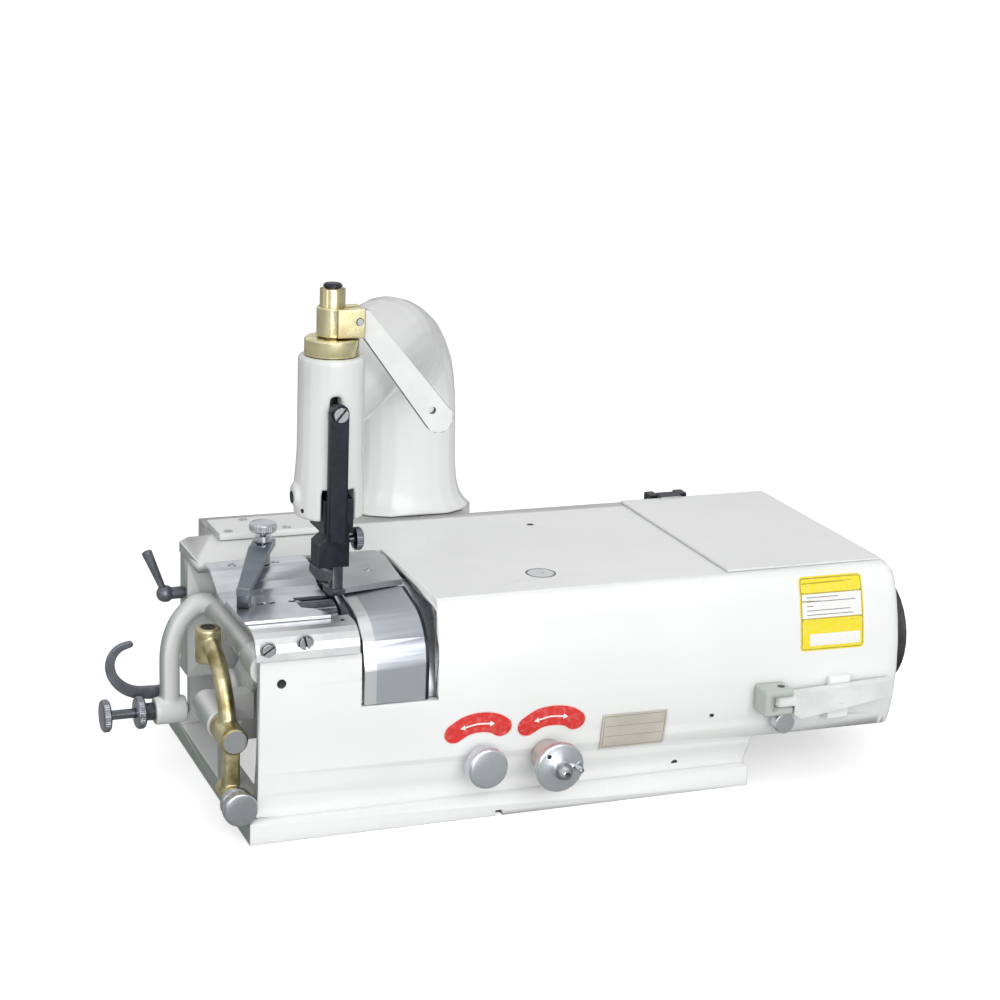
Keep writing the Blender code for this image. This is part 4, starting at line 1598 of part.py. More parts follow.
def make_brass_pieces():
    pivot = Vector((PIVOT_X, BRASS_FRONT, PIVOT_Z))
    barrel_back = PIVOT_FRONT - GAP
    lever = rod(pivot, (PIVOT_X, barrel_back, PIVOT_Z), BRASS_RADIUS, chamfer=OVERRUN)
    fuse(lever, rod((PIVOT_X, barrel_back - OVERRUN, PIVOT_Z),
                    (PIVOT_X, PIVOT_FRONT + BRASS_PIN_DEPTH, PIVOT_Z), BRASS_PIN_RADIUS,
                    sides=SMALL_SIDES))
    start = Vector((PIVOT_X, (BRASS_NECK_FRONT + BRASS_NECK_BACK) / 2 + BRASS_ARM_RADIUS, PIVOT_Z))
    end = Vector((BRASS_HEAD_X, BRASS_HEAD_Y, BRASS_HEAD_TOP - BRASS_HEAD_RADIUS))
    points = [(start.x + (end.x - start.x) * a, start.y + (end.y - start.y) * b,
               start.z + (end.z - start.z) * c) for a, b, c in BRASS_ARM_SHARES]
    line = smooth_line(points, 2)
    fuse(lever, swept(line, [BRASS_ARM_RADIUS] * len(line), SMALL_SIDES))
    fuse(lever, rod((BRASS_HEAD_X, BRASS_HEAD_Y, BRASS_HEAD_BOTTOM),
                    (BRASS_HEAD_X, BRASS_HEAD_Y, BRASS_HEAD_TOP), BRASS_HEAD_RADIUS,
                    chamfer=OVERRUN))
    fuse(lever, box((PIVOT_X - BRASS_NECK_HALF, BRASS_NECK_FRONT, BRASS_FOOT_Z),
                    (PIVOT_X + BRASS_NECK_HALF, BRASS_NECK_BACK, PIVOT_Z), round_edges=OVERRUN))
    foot_front = (LEVER_KNOB_FRONT + LEVER_KNOB_THICK + LEVER_KNOB_GROOVE + LEVER_KNOB_COLLAR
                  + GAP)
    knob_x = PIVOT_X - OVERRUN
    fuse(lever, rod((knob_x, foot_front, BRASS_FOOT_Z), (knob_x, BRASS_FOOT_BACK, BRASS_FOOT_Z),
                    BRASS_FOOT_RADIUS, chamfer=OVERRUN))
    cut(lever, rod((knob_x, foot_front - OVERRUN, BRASS_FOOT_Z),
                   (knob_x, LEVER_KNOB_FRONT + LEVER_KNOB_DEPTH + GAP, BRASS_FOOT_Z),
                   LEVER_KNOB_SHANK + GAP, sides=SMALL_SIDES))
    finish("brass_lever", lever, "brass", pivot, angle=45.0)
    front = (knob_x, LEVER_KNOB_FRONT, BRASS_FOOT_Z)
    back = LEVER_KNOB_FRONT + LEVER_KNOB_THICK
    knob = rod(front, (knob_x, back, BRASS_FOOT_Z), LEVER_KNOB_RADIUS, chamfer=OVERRUN)
    collar_front = back + LEVER_KNOB_GROOVE
    fuse(knob, rod((knob_x, back - OVERRUN, BRASS_FOOT_Z),
                   (knob_x, collar_front + OVERRUN, BRASS_FOOT_Z), LEVER_KNOB_GROOVE_RADIUS))
    fuse(knob, rod((knob_x, collar_front, BRASS_FOOT_Z),
                   (knob_x, collar_front + LEVER_KNOB_COLLAR, BRASS_FOOT_Z),
                   LEVER_KNOB_COLLAR_RADIUS))
    fuse(knob, rod((knob_x, back, BRASS_FOOT_Z),
                   (knob_x, LEVER_KNOB_FRONT + LEVER_KNOB_DEPTH, BRASS_FOOT_Z), LEVER_KNOB_SHANK,
                   sides=SMALL_SIDES))
    finish("lever_knob", knob, "polished_steel", front)


def make_edge_guide_pieces():
    post_bottom = BRACKET_TOP + PLATE_THICK + BACK_PLATE_RISE + 2 * GAP
    heading = Vector((GUIDE_END_X - GUIDE_X, GUIDE_END_Y - GUIDE_Y, 0.0)).normalized()
    side = Vector((-heading.y, heading.x, 0.0))
    arm_bottom = post_bottom + GUIDE_POST_HEIGHT
    arm_top = arm_bottom + GUIDE_ARM_THICK
    post = rod((GUIDE_X, GUIDE_Y, post_bottom), (GUIDE_X, GUIDE_Y, arm_bottom - GAP),
               GUIDE_POST_RADIUS)
    cut(post, rod((GUIDE_X, GUIDE_Y, arm_bottom - GUIDE_POST_HEIGHT / 2),
                  (GUIDE_X, GUIDE_Y, arm_bottom + OVERRUN), GUIDE_SCREW_SHANK + GAP,
                  sides=SMALL_SIDES))
    finish("guide_post", post, "steel", (GUIDE_X, GUIDE_Y, post_bottom))
    centre = Vector((GUIDE_X, GUIDE_Y, 0.0))
    rear = centre - heading * GUIDE_ARM_OVERHANG
    knee = centre + heading * (GUIDE_FLAT_LENGTH - GUIDE_ARM_OVERHANG)
    end = Vector((GUIDE_END_X, GUIDE_END_Y, 0.0))
    rows = ((rear, arm_bottom, GUIDE_ARM_HALF), (knee, arm_bottom, GUIDE_ARM_HALF),
            (end, GUIDE_END_Z, GUIDE_ARM_END_HALF),
            (end + heading * GUIDE_ARM_END_HALF, GUIDE_END_Z, GUIDE_ARM_END_HALF))
    rings = []
    for place, z, half in rows:
        low = Vector((place.x, place.y, z))
        up = Vector((0, 0, GUIDE_ARM_THICK))
        rings.append([low - side * half, low + side * half, low + side * half + up,
                      low - side * half + up])
    arm = lofted(rings)
    block_bottom = GUIDE_PLATE_TOP + GAP
    half = GUIDE_ARM_END_HALF - GAP
    corner = end + heading * half
    far = corner - heading * GUIDE_END_BLOCK
    corners = (corner - side * half, corner + side * half, far + side * half, far - side * half)
    fuse(arm, extruded([(point.x, point.y) for point in corners], "Z", block_bottom,
                       GUIDE_END_Z + GUIDE_ARM_THICK / 2))
    slot_end = centre + heading * (GUIDE_ARM_SLOT_LENGTH / 2)
    slot_start = centre - heading * (GUIDE_ARM_SLOT_LENGTH / 4)
    slot = hull_of_circles((slot_start.x, slot_start.y), GUIDE_ARM_SLOT_RADIUS,
                           (slot_end.x, slot_end.y), GUIDE_ARM_SLOT_RADIUS, 5)
    cut(arm, extruded(slot, "Z", arm_bottom - OVERRUN, arm_top + OVERRUN))
    finish("guide_arm", arm, "polished_steel", (GUIDE_X, GUIDE_Y, arm_bottom))
    nut_bottom = arm_top + GAP
    knob_bottom = nut_bottom + GUIDE_NUT_HEIGHT + GUIDE_KNOB_LIFT
    screw = rod((GUIDE_X, GUIDE_Y, arm_bottom - GUIDE_POST_HEIGHT / 2 + GAP),
                (GUIDE_X, GUIDE_Y, knob_bottom + OVERRUN), GUIDE_SCREW_SHANK, sides=SMALL_SIDES)
    fuse(screw, rod((GUIDE_X, GUIDE_Y, nut_bottom), (GUIDE_X, GUIDE_Y, nut_bottom
                                                    + GUIDE_NUT_HEIGHT), GUIDE_NUT_RADIUS))
    fuse(screw, rod((GUIDE_X, GUIDE_Y, knob_bottom),
                    (GUIDE_X, GUIDE_Y, knob_bottom + GUIDE_KNOB_THICK), GUIDE_KNOB_RADIUS,
                    chamfer=OVERRUN))
    finish("guide_thumb_screw", screw, "polished_steel", (GUIDE_X, GUIDE_Y, nut_bottom))


def make_stone_lever_pieces():
    face = most_forward(CLEVIS_LEFT, CLEVIS_RIGHT, CLEVIS_BOTTOM, CLEVIS_TOP)
    clevis = box((CLEVIS_LEFT, face - GAP - CLEVIS_OUT, CLEVIS_BOTTOM),
                 (CLEVIS_RIGHT, face - GAP, CLEVIS_TOP), round_edges=2 * OVERRUN)
    cut(clevis, box((CLEVIS_SLOT_LEFT, face - 2 * CLEVIS_OUT, CLEVIS_SLOT_BOTTOM),
                    (CLEVIS_RIGHT + OVERRUN, face - 2 * OVERRUN, CLEVIS_SLOT_TOP)))
    pin_y = face - CLEVIS_PIN_OUT
    cut(clevis, rod((CLEVIS_PIN_X, pin_y, CLEVIS_BOTTOM - OVERRUN),
                    (CLEVIS_PIN_X, pin_y, CLEVIS_TOP + OVERRUN), CLEVIS_PIN_RADIUS + GAP,
                    sides=SMALL_SIDES))
    finish("lever_clevis", clevis, "enamel", (CLEVIS_PIN_X, pin_y, CLEVIS_BOTTOM))
    lever_front = pin_y - STONE_LEVER_THICK / 2
    lever_back = pin_y + STONE_LEVER_THICK / 2
    bar_left = CLEVIS_RIGHT + 3 * OVERRUN
    root = STONE_LEVER_ROOT_Z
    rise = STONE_LEVER_END_Z - root
    half = STONE_LEVER_HALF
    outline = [(bar_left, root - half / 3), (bar_left + half, root - half),
               (STONE_LEVER_END_X, root + rise - half), (STONE_LEVER_END_X, root + rise + half),
               (bar_left + half, CLEVIS_SLOT_TOP), (bar_left, CLEVIS_SLOT_TOP - GAP)]
    lever = extruded(outline, "Y", lever_front, lever_back)
    tongue = hull_of_circles((CLEVIS_PIN_X, pin_y), STONE_LEVER_THICK / 2,
                             (bar_left + half, pin_y), STONE_LEVER_THICK / 2 - MERGE, 5)
    fuse(lever, extruded(tongue, "Z", CLEVIS_SLOT_BOTTOM + GAP, CLEVIS_SLOT_TOP - GAP))
    pin_bottom = CLEVIS_BOTTOM + GAP
    fuse(lever, rod((CLEVIS_PIN_X, pin_y, pin_bottom), (CLEVIS_PIN_X, pin_y, CLEVIS_TOP - GAP),
                    CLEVIS_PIN_RADIUS, sides=SMALL_SIDES))
    finish("stone_lever", lever, "polished_steel", (CLEVIS_PIN_X, pin_y, CLEVIS_BOTTOM))
    roller_face = most_forward(LEVER_ROLLER_X - LEVER_ROLLER_RADIUS,
                               LEVER_ROLLER_X + LEVER_ROLLER_RADIUS,
                               LEVER_ROLLER_Z - LEVER_ROLLER_RADIUS,
                               LEVER_ROLLER_Z + LEVER_ROLLER_RADIUS)
    disc_back = roller_face - LEVER_ROLLER_STAND
    disc_front = disc_back - LEVER_ROLLER_THICK
    start = (LEVER_ROLLER_X, disc_front, LEVER_ROLLER_Z)
    roller = rod(start, (LEVER_ROLLER_X, disc_back, LEVER_ROLLER_Z), LEVER_ROLLER_RADIUS,
                 chamfer=GAP)
    fuse(roller, rod((LEVER_ROLLER_X, disc_back - OVERRUN, LEVER_ROLLER_Z),
                     (LEVER_ROLLER_X, roller_face + LEVER_ROLLER_PIN_DEPTH, LEVER_ROLLER_Z),
                     LEVER_ROLLER_PIN, sides=SMALL_SIDES))
    finish("lever_roller", roller, "polished_steel", start)


def make_cover_pieces():
    bottom = BODY_TOP + GAP
    cover = box((COVER_LEFT, COVER_FRONT, bottom), (COVER_RIGHT, COVER_BACK, bottom + COVER_THICK))
    knuckle_right = COVER_KNUCKLE_LEFT + COVER_KNUCKLE_WIDTH
    fuse(cover, box((COVER_KNUCKLE_LEFT, COVER_BACK - 2 * OVERRUN, bottom + OVERRUN / 2),
                    (knuckle_right, COVER_PIN_Y, bottom + COVER_THICK + OVERRUN)))
    fuse(cover, rod((COVER_KNUCKLE_LEFT, COVER_PIN_Y, COVER_PIN_Z),
                    (knuckle_right, COVER_PIN_Y, COVER_PIN_Z), COVER_KNUCKLE_RADIUS,
                    sides=SMALL_SIDES))
    cut(cover, rod((COVER_KNUCKLE_LEFT - OVERRUN, COVER_PIN_Y, COVER_PIN_Z),
                   (knuckle_right + OVERRUN, COVER_PIN_Y, COVER_PIN_Z), COVER_PIN_RADIUS + GAP,
                   sides=SMALL_SIDES))
    finish("top_cover", cover, "enamel", (COVER_KNUCKLE_LEFT, COVER_PIN_Y, COVER_PIN_Z))
    block_front = BODY_BACK + GAP
    hinge = box((HINGE_LEFT, block_front, HINGE_BOTTOM),
                (HINGE_LEFT + HINGE_WIDTH, block_front + HINGE_DEPTH,
                 COVER_PIN_Z + COVER_KNUCKLE_RADIUS))
    cut(hinge, box((COVER_KNUCKLE_LEFT - GAP, block_front - OVERRUN,
                    COVER_PIN_Z - COVER_KNUCKLE_RADIUS - GAP),
                   (knuckle_right + GAP, block_front + HINGE_DEPTH + OVERRUN,
                    COVER_PIN_Z + 2 * COVER_KNUCKLE_RADIUS)))
    fuse(hinge, rod((HINGE_LEFT + OVERRUN, COVER_PIN_Y, COVER_PIN_Z),
                    (HINGE_LEFT + HINGE_WIDTH - OVERRUN, COVER_PIN_Y, COVER_PIN_Z),
                    COVER_PIN_RADIUS, sides=SMALL_SIDES))
    finish("cover_hinge", hinge, "black_steel", (HINGE_LEFT, COVER_PIN_Y, COVER_PIN_Z))


def make_small_fittings():
    disc = rod((SIGHT_X, SIGHT_Y, BODY_TOP - SIGHT_THICK), (SIGHT_X, SIGHT_Y, BODY_TOP),
               SIGHT_RADIUS)
    cut(disc, rod((SIGHT_X, SIGHT_Y, BODY_TOP - SIGHT_DIMPLE_DEPTH),
                  (SIGHT_X, SIGHT_Y, BODY_TOP + OVERRUN), SIGHT_DIMPLE_RADIUS, sides=SMALL_SIDES))
    finish("oil_sight", disc, "steel", (SIGHT_X, SIGHT_Y, BODY_TOP))
    sections = []
    for step in range(NAME_PLATE_STEPS + 1):
        z = NAME_PLATE_BOTTOM + NAME_PLATE_HEIGHT * step / NAME_PLATE_STEPS
        right = NAME_PLATE_LEFT + NAME_PLATE_WIDTH
        left_y = face_y(NAME_PLATE_LEFT, z) - GAP
        right_y = face_y(right, z) - GAP
        sections.append([(NAME_PLATE_LEFT, left_y, z), (right, right_y, z),
                         (right, right_y - NAME_PLATE_THICK, z),
                         (NAME_PLATE_LEFT, left_y - NAME_PLATE_THICK, z)])
    plate = lofted(sections)
    finish("data_plate", plate, "steel")


def build():
    clear_scene()
    make_main_casting()
    make_table_bracket()
    make_front_plate()
    make_guide_plate()
    make_back_plate()
    make_knife_cover_plate()
    make_knife_guard()
    make_rear_plate()
    make_knife_pieces()
    make_knife_knob()
    make_stone_knob_pieces()
    make_stone_pieces()
    make_feed_pieces()
    make_belt_case()
    make_arm_casting()
    make_presser_pieces()
    make_lifter_pieces()
    make_hanger_pieces()
    make_swing_pieces()
    make_ball_lever()
    make_brass_pieces()
    make_edge_guide_pieces()
    make_stone_lever_pieces()
    make_cover_pieces()
    make_small_fittings()


build()
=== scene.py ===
"""The looks of the leather skiving machine head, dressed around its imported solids.

Their finishes are made here, and so are the knurling, screws, labels and smoother skins of
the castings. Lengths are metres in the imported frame; at(x, y, z) gives a place in millimetres
from the base's front left corner.
"""
import json
import math

import bmesh
import bpy
from mathutils import Matrix, Vector
from mathutils.bvhtree import BVHTree


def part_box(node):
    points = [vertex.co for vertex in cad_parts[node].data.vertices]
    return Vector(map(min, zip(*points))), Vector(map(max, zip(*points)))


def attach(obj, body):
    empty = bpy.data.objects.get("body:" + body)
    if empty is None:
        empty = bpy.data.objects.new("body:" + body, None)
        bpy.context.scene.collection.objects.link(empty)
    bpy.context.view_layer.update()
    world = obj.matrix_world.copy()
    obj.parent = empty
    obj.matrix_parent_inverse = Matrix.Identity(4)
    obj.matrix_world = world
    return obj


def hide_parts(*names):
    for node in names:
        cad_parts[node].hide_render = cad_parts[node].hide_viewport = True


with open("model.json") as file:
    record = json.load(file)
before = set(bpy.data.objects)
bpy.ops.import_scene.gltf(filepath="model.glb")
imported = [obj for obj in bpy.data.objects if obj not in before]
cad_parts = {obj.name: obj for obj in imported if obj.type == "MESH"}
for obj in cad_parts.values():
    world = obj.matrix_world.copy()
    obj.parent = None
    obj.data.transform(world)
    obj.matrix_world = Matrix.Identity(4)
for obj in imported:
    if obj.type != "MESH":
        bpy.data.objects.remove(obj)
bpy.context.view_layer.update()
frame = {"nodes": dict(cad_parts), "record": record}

MM = 0.001
BASE_MIDDLE = Vector((175.0, 110.0, 0.0))
X_AXIS = Vector((1.0, 0.0, 0.0))
Y_AXIS = Vector((0.0, 1.0, 0.0))
Z_AXIS = Vector((0.0, 0.0, 1.0))
AXES = (X_AXIS, Y_AXIS, Z_AXIS)


def at(x, y, z):
    """A place given in millimetres from the front left corner of the base."""
    return (Vector((x, y, z)) - BASE_MIDDLE) * MM


# Camera: the photograph's viewpoint
CAMERA_PLACE = (-0.53467, -1.39425, 0.60571)
CAMERA_RIGHT = (0.93031073, -0.36475332, 0.03843132)
CAMERA_UP = (0.06463875, 0.26619476, 0.96174954)
CAMERA_BACK = (-0.36103155, -0.89224176, 0.27122104)
CAMERA_LENS = 82.49
CAMERA_SENSOR = 36.0
CAMERA_REACH = (0.05, 50.0)


def make_camera():
    """The camera stands where the photograph was taken from."""
    data = bpy.data.cameras.new("camera")
    data.lens = CAMERA_LENS
    data.sensor_width = CAMERA_SENSOR
    data.clip_start, data.clip_end = CAMERA_REACH
    camera = bpy.data.objects.new("camera", data)
    rows = zip(CAMERA_RIGHT, CAMERA_UP, CAMERA_BACK, CAMERA_PLACE)
    camera.matrix_world = Matrix([list(row) for row in rows] + [[0.0, 0.0, 0.0, 1.0]])
    bpy.context.scene.collection.objects.link(camera)
    bpy.context.scene.camera = camera


# ---- Materials

BLACK = (0.0, 0.0, 0.0)
WHITE = (1.0, 1.0, 1.0)
ENAMEL_WHITE = (0.88, 0.89, 0.885)
ENAMEL_GREY = (0.84, 0.855, 0.845)
ENAMEL_SHADED = (0.20, 0.25, 0.22)
CHEEK_SHADE = (0.055, 0.062, 0.075)
LEVER_WHITE = (0.80, 0.815, 0.81)
LEVER_GREY = (0.74, 0.76, 0.76)
LEVER_SIDE = (0.15, 0.16, 0.18)
STEEL = (0.74, 0.765, 0.80)
DULL_STEEL = (0.52, 0.53, 0.55)
KNOB_STEEL = (0.74, 0.78, 0.83)
SCREW_STEEL = (0.33, 0.35, 0.40)
GUN_STEEL = (0.17, 0.18, 0.21)
BLACK_STEEL = (0.028, 0.031, 0.042)
STEEL_EDGE = (0.86, 0.87, 0.89)
TURNED_EDGE = (0.88, 0.89, 0.90)
# The guard's pale and grey are the two ends of its painted reflection bands
GUARD_PALE = (0.82, 0.84, 0.88)
GUARD_GREY = (0.54, 0.57, 0.62)
GUARD_RIM = (0.90, 0.91, 0.93)
# Painted shade on the guard's right flank
GUARD_FLANK_SHADE = (0.045, 0.050, 0.062)
PALE_BRASS = (0.97, 0.90, 0.56)
DEEP_BRASS = (0.74, 0.67, 0.42)
TARNISHED_BRASS = (0.74, 0.61, 0.34)
BROWN_BRASS = (0.30, 0.24, 0.09)
BRASS_EDGE = (0.93, 0.82, 0.55)
SIGHT_GREY = (0.66, 0.67, 0.68)
SIGHT_LINE = (0.10, 0.10, 0.11)
# Colours that narrow corners darken towards
CORNER_DARK = (0.30, 0.31, 0.29)
PLATE_CORNER_DARK = (0.10, 0.10, 0.10)
TURNED_CORNER_DARK = (0.06, 0.06, 0.06)
BRASS_GRIME = (0.16, 0.10, 0.03)
GRIT_STOPS = ((0.15, (0.40, 0.22, 0.17)), (0.45, (0.62, 0.38, 0.31)), (0.80, (0.80, 0.62, 0.54)))
RUBBER = (0.025, 0.025, 0.026)
RUBBER_DUSTY = (0.085, 0.083, 0.080)
IRON_BLACK = (0.018, 0.018, 0.020)
IRON_DUSTY = (0.060, 0.060, 0.062)

# The radius that sharp steel edges are shaded with, and the pitch of turning marks, in metres
SMALL_EDGE = 0.00035
TURNING_PITCH = 0.00022
# Grains of the grinding stone in each metre
GRAIN_SCALE = 1900.0
# Soft borders between finishes and of painted shade: from and to in millimetres along one axis
LEFT_END = (14.0, 34.0)
CHEEK_START = (115.0, 116.0)
CHEEK_END = (124.0, 126.0)
CHEEK_TOP = (146.0, 149.0)
GUARD_RIM_END = (81.2, 81.6)
GUARD_FLANK_START = (113.9, 114.5)
SIGHT_RIM = (8.6, 9.1)
SIGHT_MIDDLE = (208.0, 42.0, 149.45)


class Value:
    """A socket of a recipe, so that sums on it can be written as Python."""

    def __init__(self, recipe, socket):
        self.recipe = recipe
        self.socket = socket

    def math(self, operation, *values):
        """Any sum that the renderer knows, by its name."""
        inputs = dict(enumerate(values))
        return self.recipe.node("ShaderNodeMath", {"operation": operation}, inputs)

    def __add__(self, other):
        return self.math("ADD", self, other)

    __radd__ = __add__

    def __rsub__(self, other):
        return self.math("SUBTRACT", other, self)

    def __mul__(self, other):
        return self.math("MULTIPLY", self, other)

    def __truediv__(self, other):
        return self.math("DIVIDE", self, other)

    def __abs__(self):
        return self.math("ABSOLUTE", self)

    def least(self, other):
        """The smaller of the two."""
        return self.math("MINIMUM", self, other)

    def step(self, low, high):
        """0 below low, 1 above high, and a soft step between them."""
        return self.recipe.node("ShaderNodeMapRange", {"interpolation_type": "SMOOTHSTEP"},
                                {"Value": self, "From Min": low, "From Max": high})


def set_stops(ramp, stops):
    """Gives a colour ramp its stops, each a place between 0 and 1 and a colour."""
    while len(ramp.elements) < len(stops):
        ramp.elements.new(1.0)
    for element, (place, colour) in zip(ramp.elements, stops):
        element.position = place
        element.color = (*colour, 1.0)


class Recipe:
    """A material being made, with one way of adding nodes to it."""

    def __init__(self, name):
        self.material = bpy.data.materials.new(name)
        self.material.use_nodes = True
        self.tree = self.material.node_tree
        self.shader = self.tree.nodes["Principled BSDF"]
        self.place = self.node("ShaderNodeTexCoord", output="Object")

    def node(self, kind, settings=(), inputs=(), output=0):
        """Adds a node with its settings and the values or links of its inputs."""
        made = self.tree.nodes.new(kind)
        for key, value in dict(settings).items():
            if key == "stops":
                set_stops(made.color_ramp, value)
            else:
                setattr(made, key, value)
        for key, value in dict(inputs).items():
            self.feed(made.inputs[key], value)
        return Value(self, made.outputs[output])

    def feed(self, socket, value):
        """Links or sets one input."""
        if isinstance(value, Value):
            self.tree.links.new(value.socket, socket)
        elif socket.type == "RGBA":
            socket.default_value = (*value[:3], 1.0)
        else:
            socket.default_value = value

    def noise(self, scale, detail=3.0, roughness=0.5, stretch=None, turn=(0.0, 0.0, 0.0)):
        """Noise between 0 and 1 over the piece; stretch draws it out along its axes."""
        place = self.place
        if stretch:
            place = self.node("ShaderNodeMapping", {},
                              {"Vector": place, "Rotation": turn, "Scale": stretch})
        return self.node("ShaderNodeTexNoise", {},
                         {"Vector": place, "Scale": scale, "Detail": detail,
                          "Roughness": roughness})

    def mix(self, share, first, second):
        """The first colour where share is 0 and the second where it is 1."""
        made = self.tree.nodes.new("ShaderNodeMix")
        made.data_type = "RGBA"
        for socket, value in zip((made.inputs[0], made.inputs[6], made.inputs[7]),
                                 (share, first, second)):
            self.feed(socket, value)
        return Value(self, made.outputs[2])

    def ramp(self, share, stops):
        """A colour read from stops between 0 and 1."""
        return self.node("ShaderNodeValToRGB", {"stops": stops}, {"Fac": share})

    def vector(self, operation, first, second=(0.0, 0.0, 0.0), output=0):
        """A sum on vectors; the output named Value is the one that is a single number."""
        return self.node("ShaderNodeVectorMath", {"operation": operation}, {0: first, 1: second},
                         output)

    def part_of(self, vector, axis):
        """One of the three numbers of a vector."""
        return self.node("ShaderNodeSeparateXYZ", {}, {"Vector": vector}, output=axis)

    def facing(self, axis):
        """The part of the surface's own direction that lies along an axis."""
        return self.part_of(self.node("ShaderNodeNewGeometry", output="Normal"), axis)

    def past(self, axis, start, end):
        """0 before start along an axis and 1 after end, both in millimetres from the base."""
        low, high = at(start, start, start), at(end, end, end)
        return self.part_of(self.place, axis).step(low[axis], high[axis])

    def soft_edge(self, radius):
        """The normal with every sharp edge rounded to this radius."""
        return self.node("ShaderNodeBevel", {"samples": 4}, {"Radius": radius})

    def edge_share(self, rounded):
        """How much the rounded normal leaves the true one: 0 on flats and 1 on edges."""
        true_normal = self.node("ShaderNodeNewGeometry", output="Normal")
        along = self.vector("DOT_PRODUCT", rounded, true_normal, output="Value")
        return (1.0 - along).step(0.004, 0.10)

    def crevice(self, reach):
        """1 in the open and 0 deep in a corner."""
        return self.node("ShaderNodeAmbientOcclusion", {"samples": 6}, {"Distance": reach},
                         output="AO")

    def grimed(self, tone, reach, share, corner_tone):
        """The tone, darker in corners that are narrower than reach."""
        return self.mix((1.0 - self.crevice(reach)) * share, tone, corner_tone)

    def bump(self, height, depth, normal=None):
        """The normal, disturbed by a height whose full range is depth in metres."""
        inputs = {"Height": height, "Distance": depth, "Strength": 1.0}
        if normal is not None:
            inputs["Normal"] = normal
        return self.node("ShaderNodeBump", {}, inputs)

    def radius_about(self, centre, axis):
        """Distance from the line through centre along one of the three axes."""
        flat = tuple(0.0 if index == axis else 1.0 for index in range(3))
        across = self.vector("MULTIPLY", self.vector("SUBTRACT", self.place, tuple(centre)), flat)
        return self.vector("LENGTH", across, output="Value")

    def turning_marks(self, centre, axis, pitch):
        """Fine rings that a lathe leaves, as noise on the radius and on the length."""
        radius = self.radius_about(centre, axis)
        along = self.part_of(self.place, axis)
        return self.node("ShaderNodeTexNoise", {"noise_dimensions": "1D"},
                         {"W": (radius + along) / pitch, "Scale": 1.0, "Detail": 2.0})

    def set(self, **values):
        """Sets the shader's own sockets, named with underscores for spaces."""
        for key, value in values.items():
            self.feed(self.shader.inputs[key.replace("_", " ")], value)
        return self.material


def cast_enamel(name, colour, shade, edge_radius, waviness):
    """Stoved enamel over a casting: wavy, orange peel, darker rougher corners and painted shade."""
    recipe = Recipe(name)
    rounded = recipe.soft_edge(edge_radius)
    corner = recipe.crevice(0.006)
    drift = recipe.noise(9.0, detail=2.0)
    # Corners darken and roughen, unevenly over the piece
    dust = (1.0 - corner) * (recipe.noise(190.0) * 0.6 + 0.5)
    tone = recipe.mix(drift.step(0.35, 0.7), colour, shade)
    leftward = 0.0 - recipe.facing(0)
    # Painted shade: faces turned left near the left end take the dark grey-green shaded tone
    end = leftward.step(0.45, 1.0) * (1.0 - recipe.past(0, *LEFT_END))
    tone = recipe.mix(end * 0.85, tone, ENAMEL_SHADED)
    # Painted shade: left-facing walls of the knife window, below its top, go near black
    cheek_shade = (leftward.step(0.35, 0.8) * recipe.past(0, *CHEEK_START)
             * (1.0 - recipe.past(0, *CHEEK_END)) * (1.0 - recipe.past(2, *CHEEK_TOP)))
    tone = recipe.mix(cheek_shade, tone, CHEEK_SHADE)
    tone = recipe.mix(dust.least(1.0) * 0.38, tone, CORNER_DARK)
    wavy = recipe.bump(recipe.noise(34.0, detail=1.0), waviness, rounded)
    peel = recipe.bump(recipe.noise(620.0, detail=1.0), depth=0.000012, normal=wavy)
    rough = 0.17 + recipe.noise(75.0) * 0.12 + dust * 0.25
    return recipe.set(Base_Color=tone, Roughness=rough, Normal=peel, Coat_Weight=0.25,
                      Coat_Roughness=0.08)


def faced_lever(name):
    """The lifter lever: enamel on its two faces and bare dark steel round its sides."""
    recipe = Recipe(name)
    rounded = recipe.soft_edge(0.0005)
    face = abs(recipe.facing(1)).step(0.75, 0.9)
    drift = recipe.noise(60.0, detail=3.0)
    white = recipe.mix(drift.step(0.35, 0.7), LEVER_WHITE, LEVER_GREY)
    tone = recipe.mix(face, LEVER_SIDE, white)
    normal = recipe.bump(recipe.noise(420.0, detail=1.0), depth=0.000012, normal=rounded)
    return recipe.set(Base_Color=tone, Roughness=0.26 + drift * 0.1, Normal=normal)


def ground_steel(name, colour, grain_turn=0.0, rough=0.28, grain=0.10, metal=1.0):
    """Ground and polished plate: long fine scratches one way, with bright worn edges."""
    recipe = Recipe(name)
    rounded = recipe.soft_edge(SMALL_EDGE)
    turn = (0.0, 0.0, grain_turn)
    scratches = recipe.noise(60.0, detail=5.0, roughness=0.65, stretch=(1.0, 26.0, 26.0),
                             turn=turn)
    fine = recipe.noise(240.0, detail=3.0, stretch=(0.6, 18.0, 18.0), turn=turn)
    smears = recipe.noise(38.0, detail=3.0)
    dark = tuple(0.72 * part for part in colour)
    tone = recipe.mix(smears.step(0.38, 0.66) * 0.45, colour, dark)
    tone = recipe.mix(recipe.edge_share(rounded) * 0.7, tone, STEEL_EDGE)
    # The plate darkens towards near black in corners narrower than 3 mm
    tone = recipe.grimed(tone, reach=0.003, share=0.6, corner_tone=PLATE_CORNER_DARK)
    rough_now = rough - grain * 0.5 + scratches * grain + smears * 0.06
    normal = recipe.bump(scratches + fine * 0.5, depth=0.000010, normal=rounded)
    return recipe.set(Base_Color=tone, Metallic=metal, Roughness=rough_now, Normal=normal)


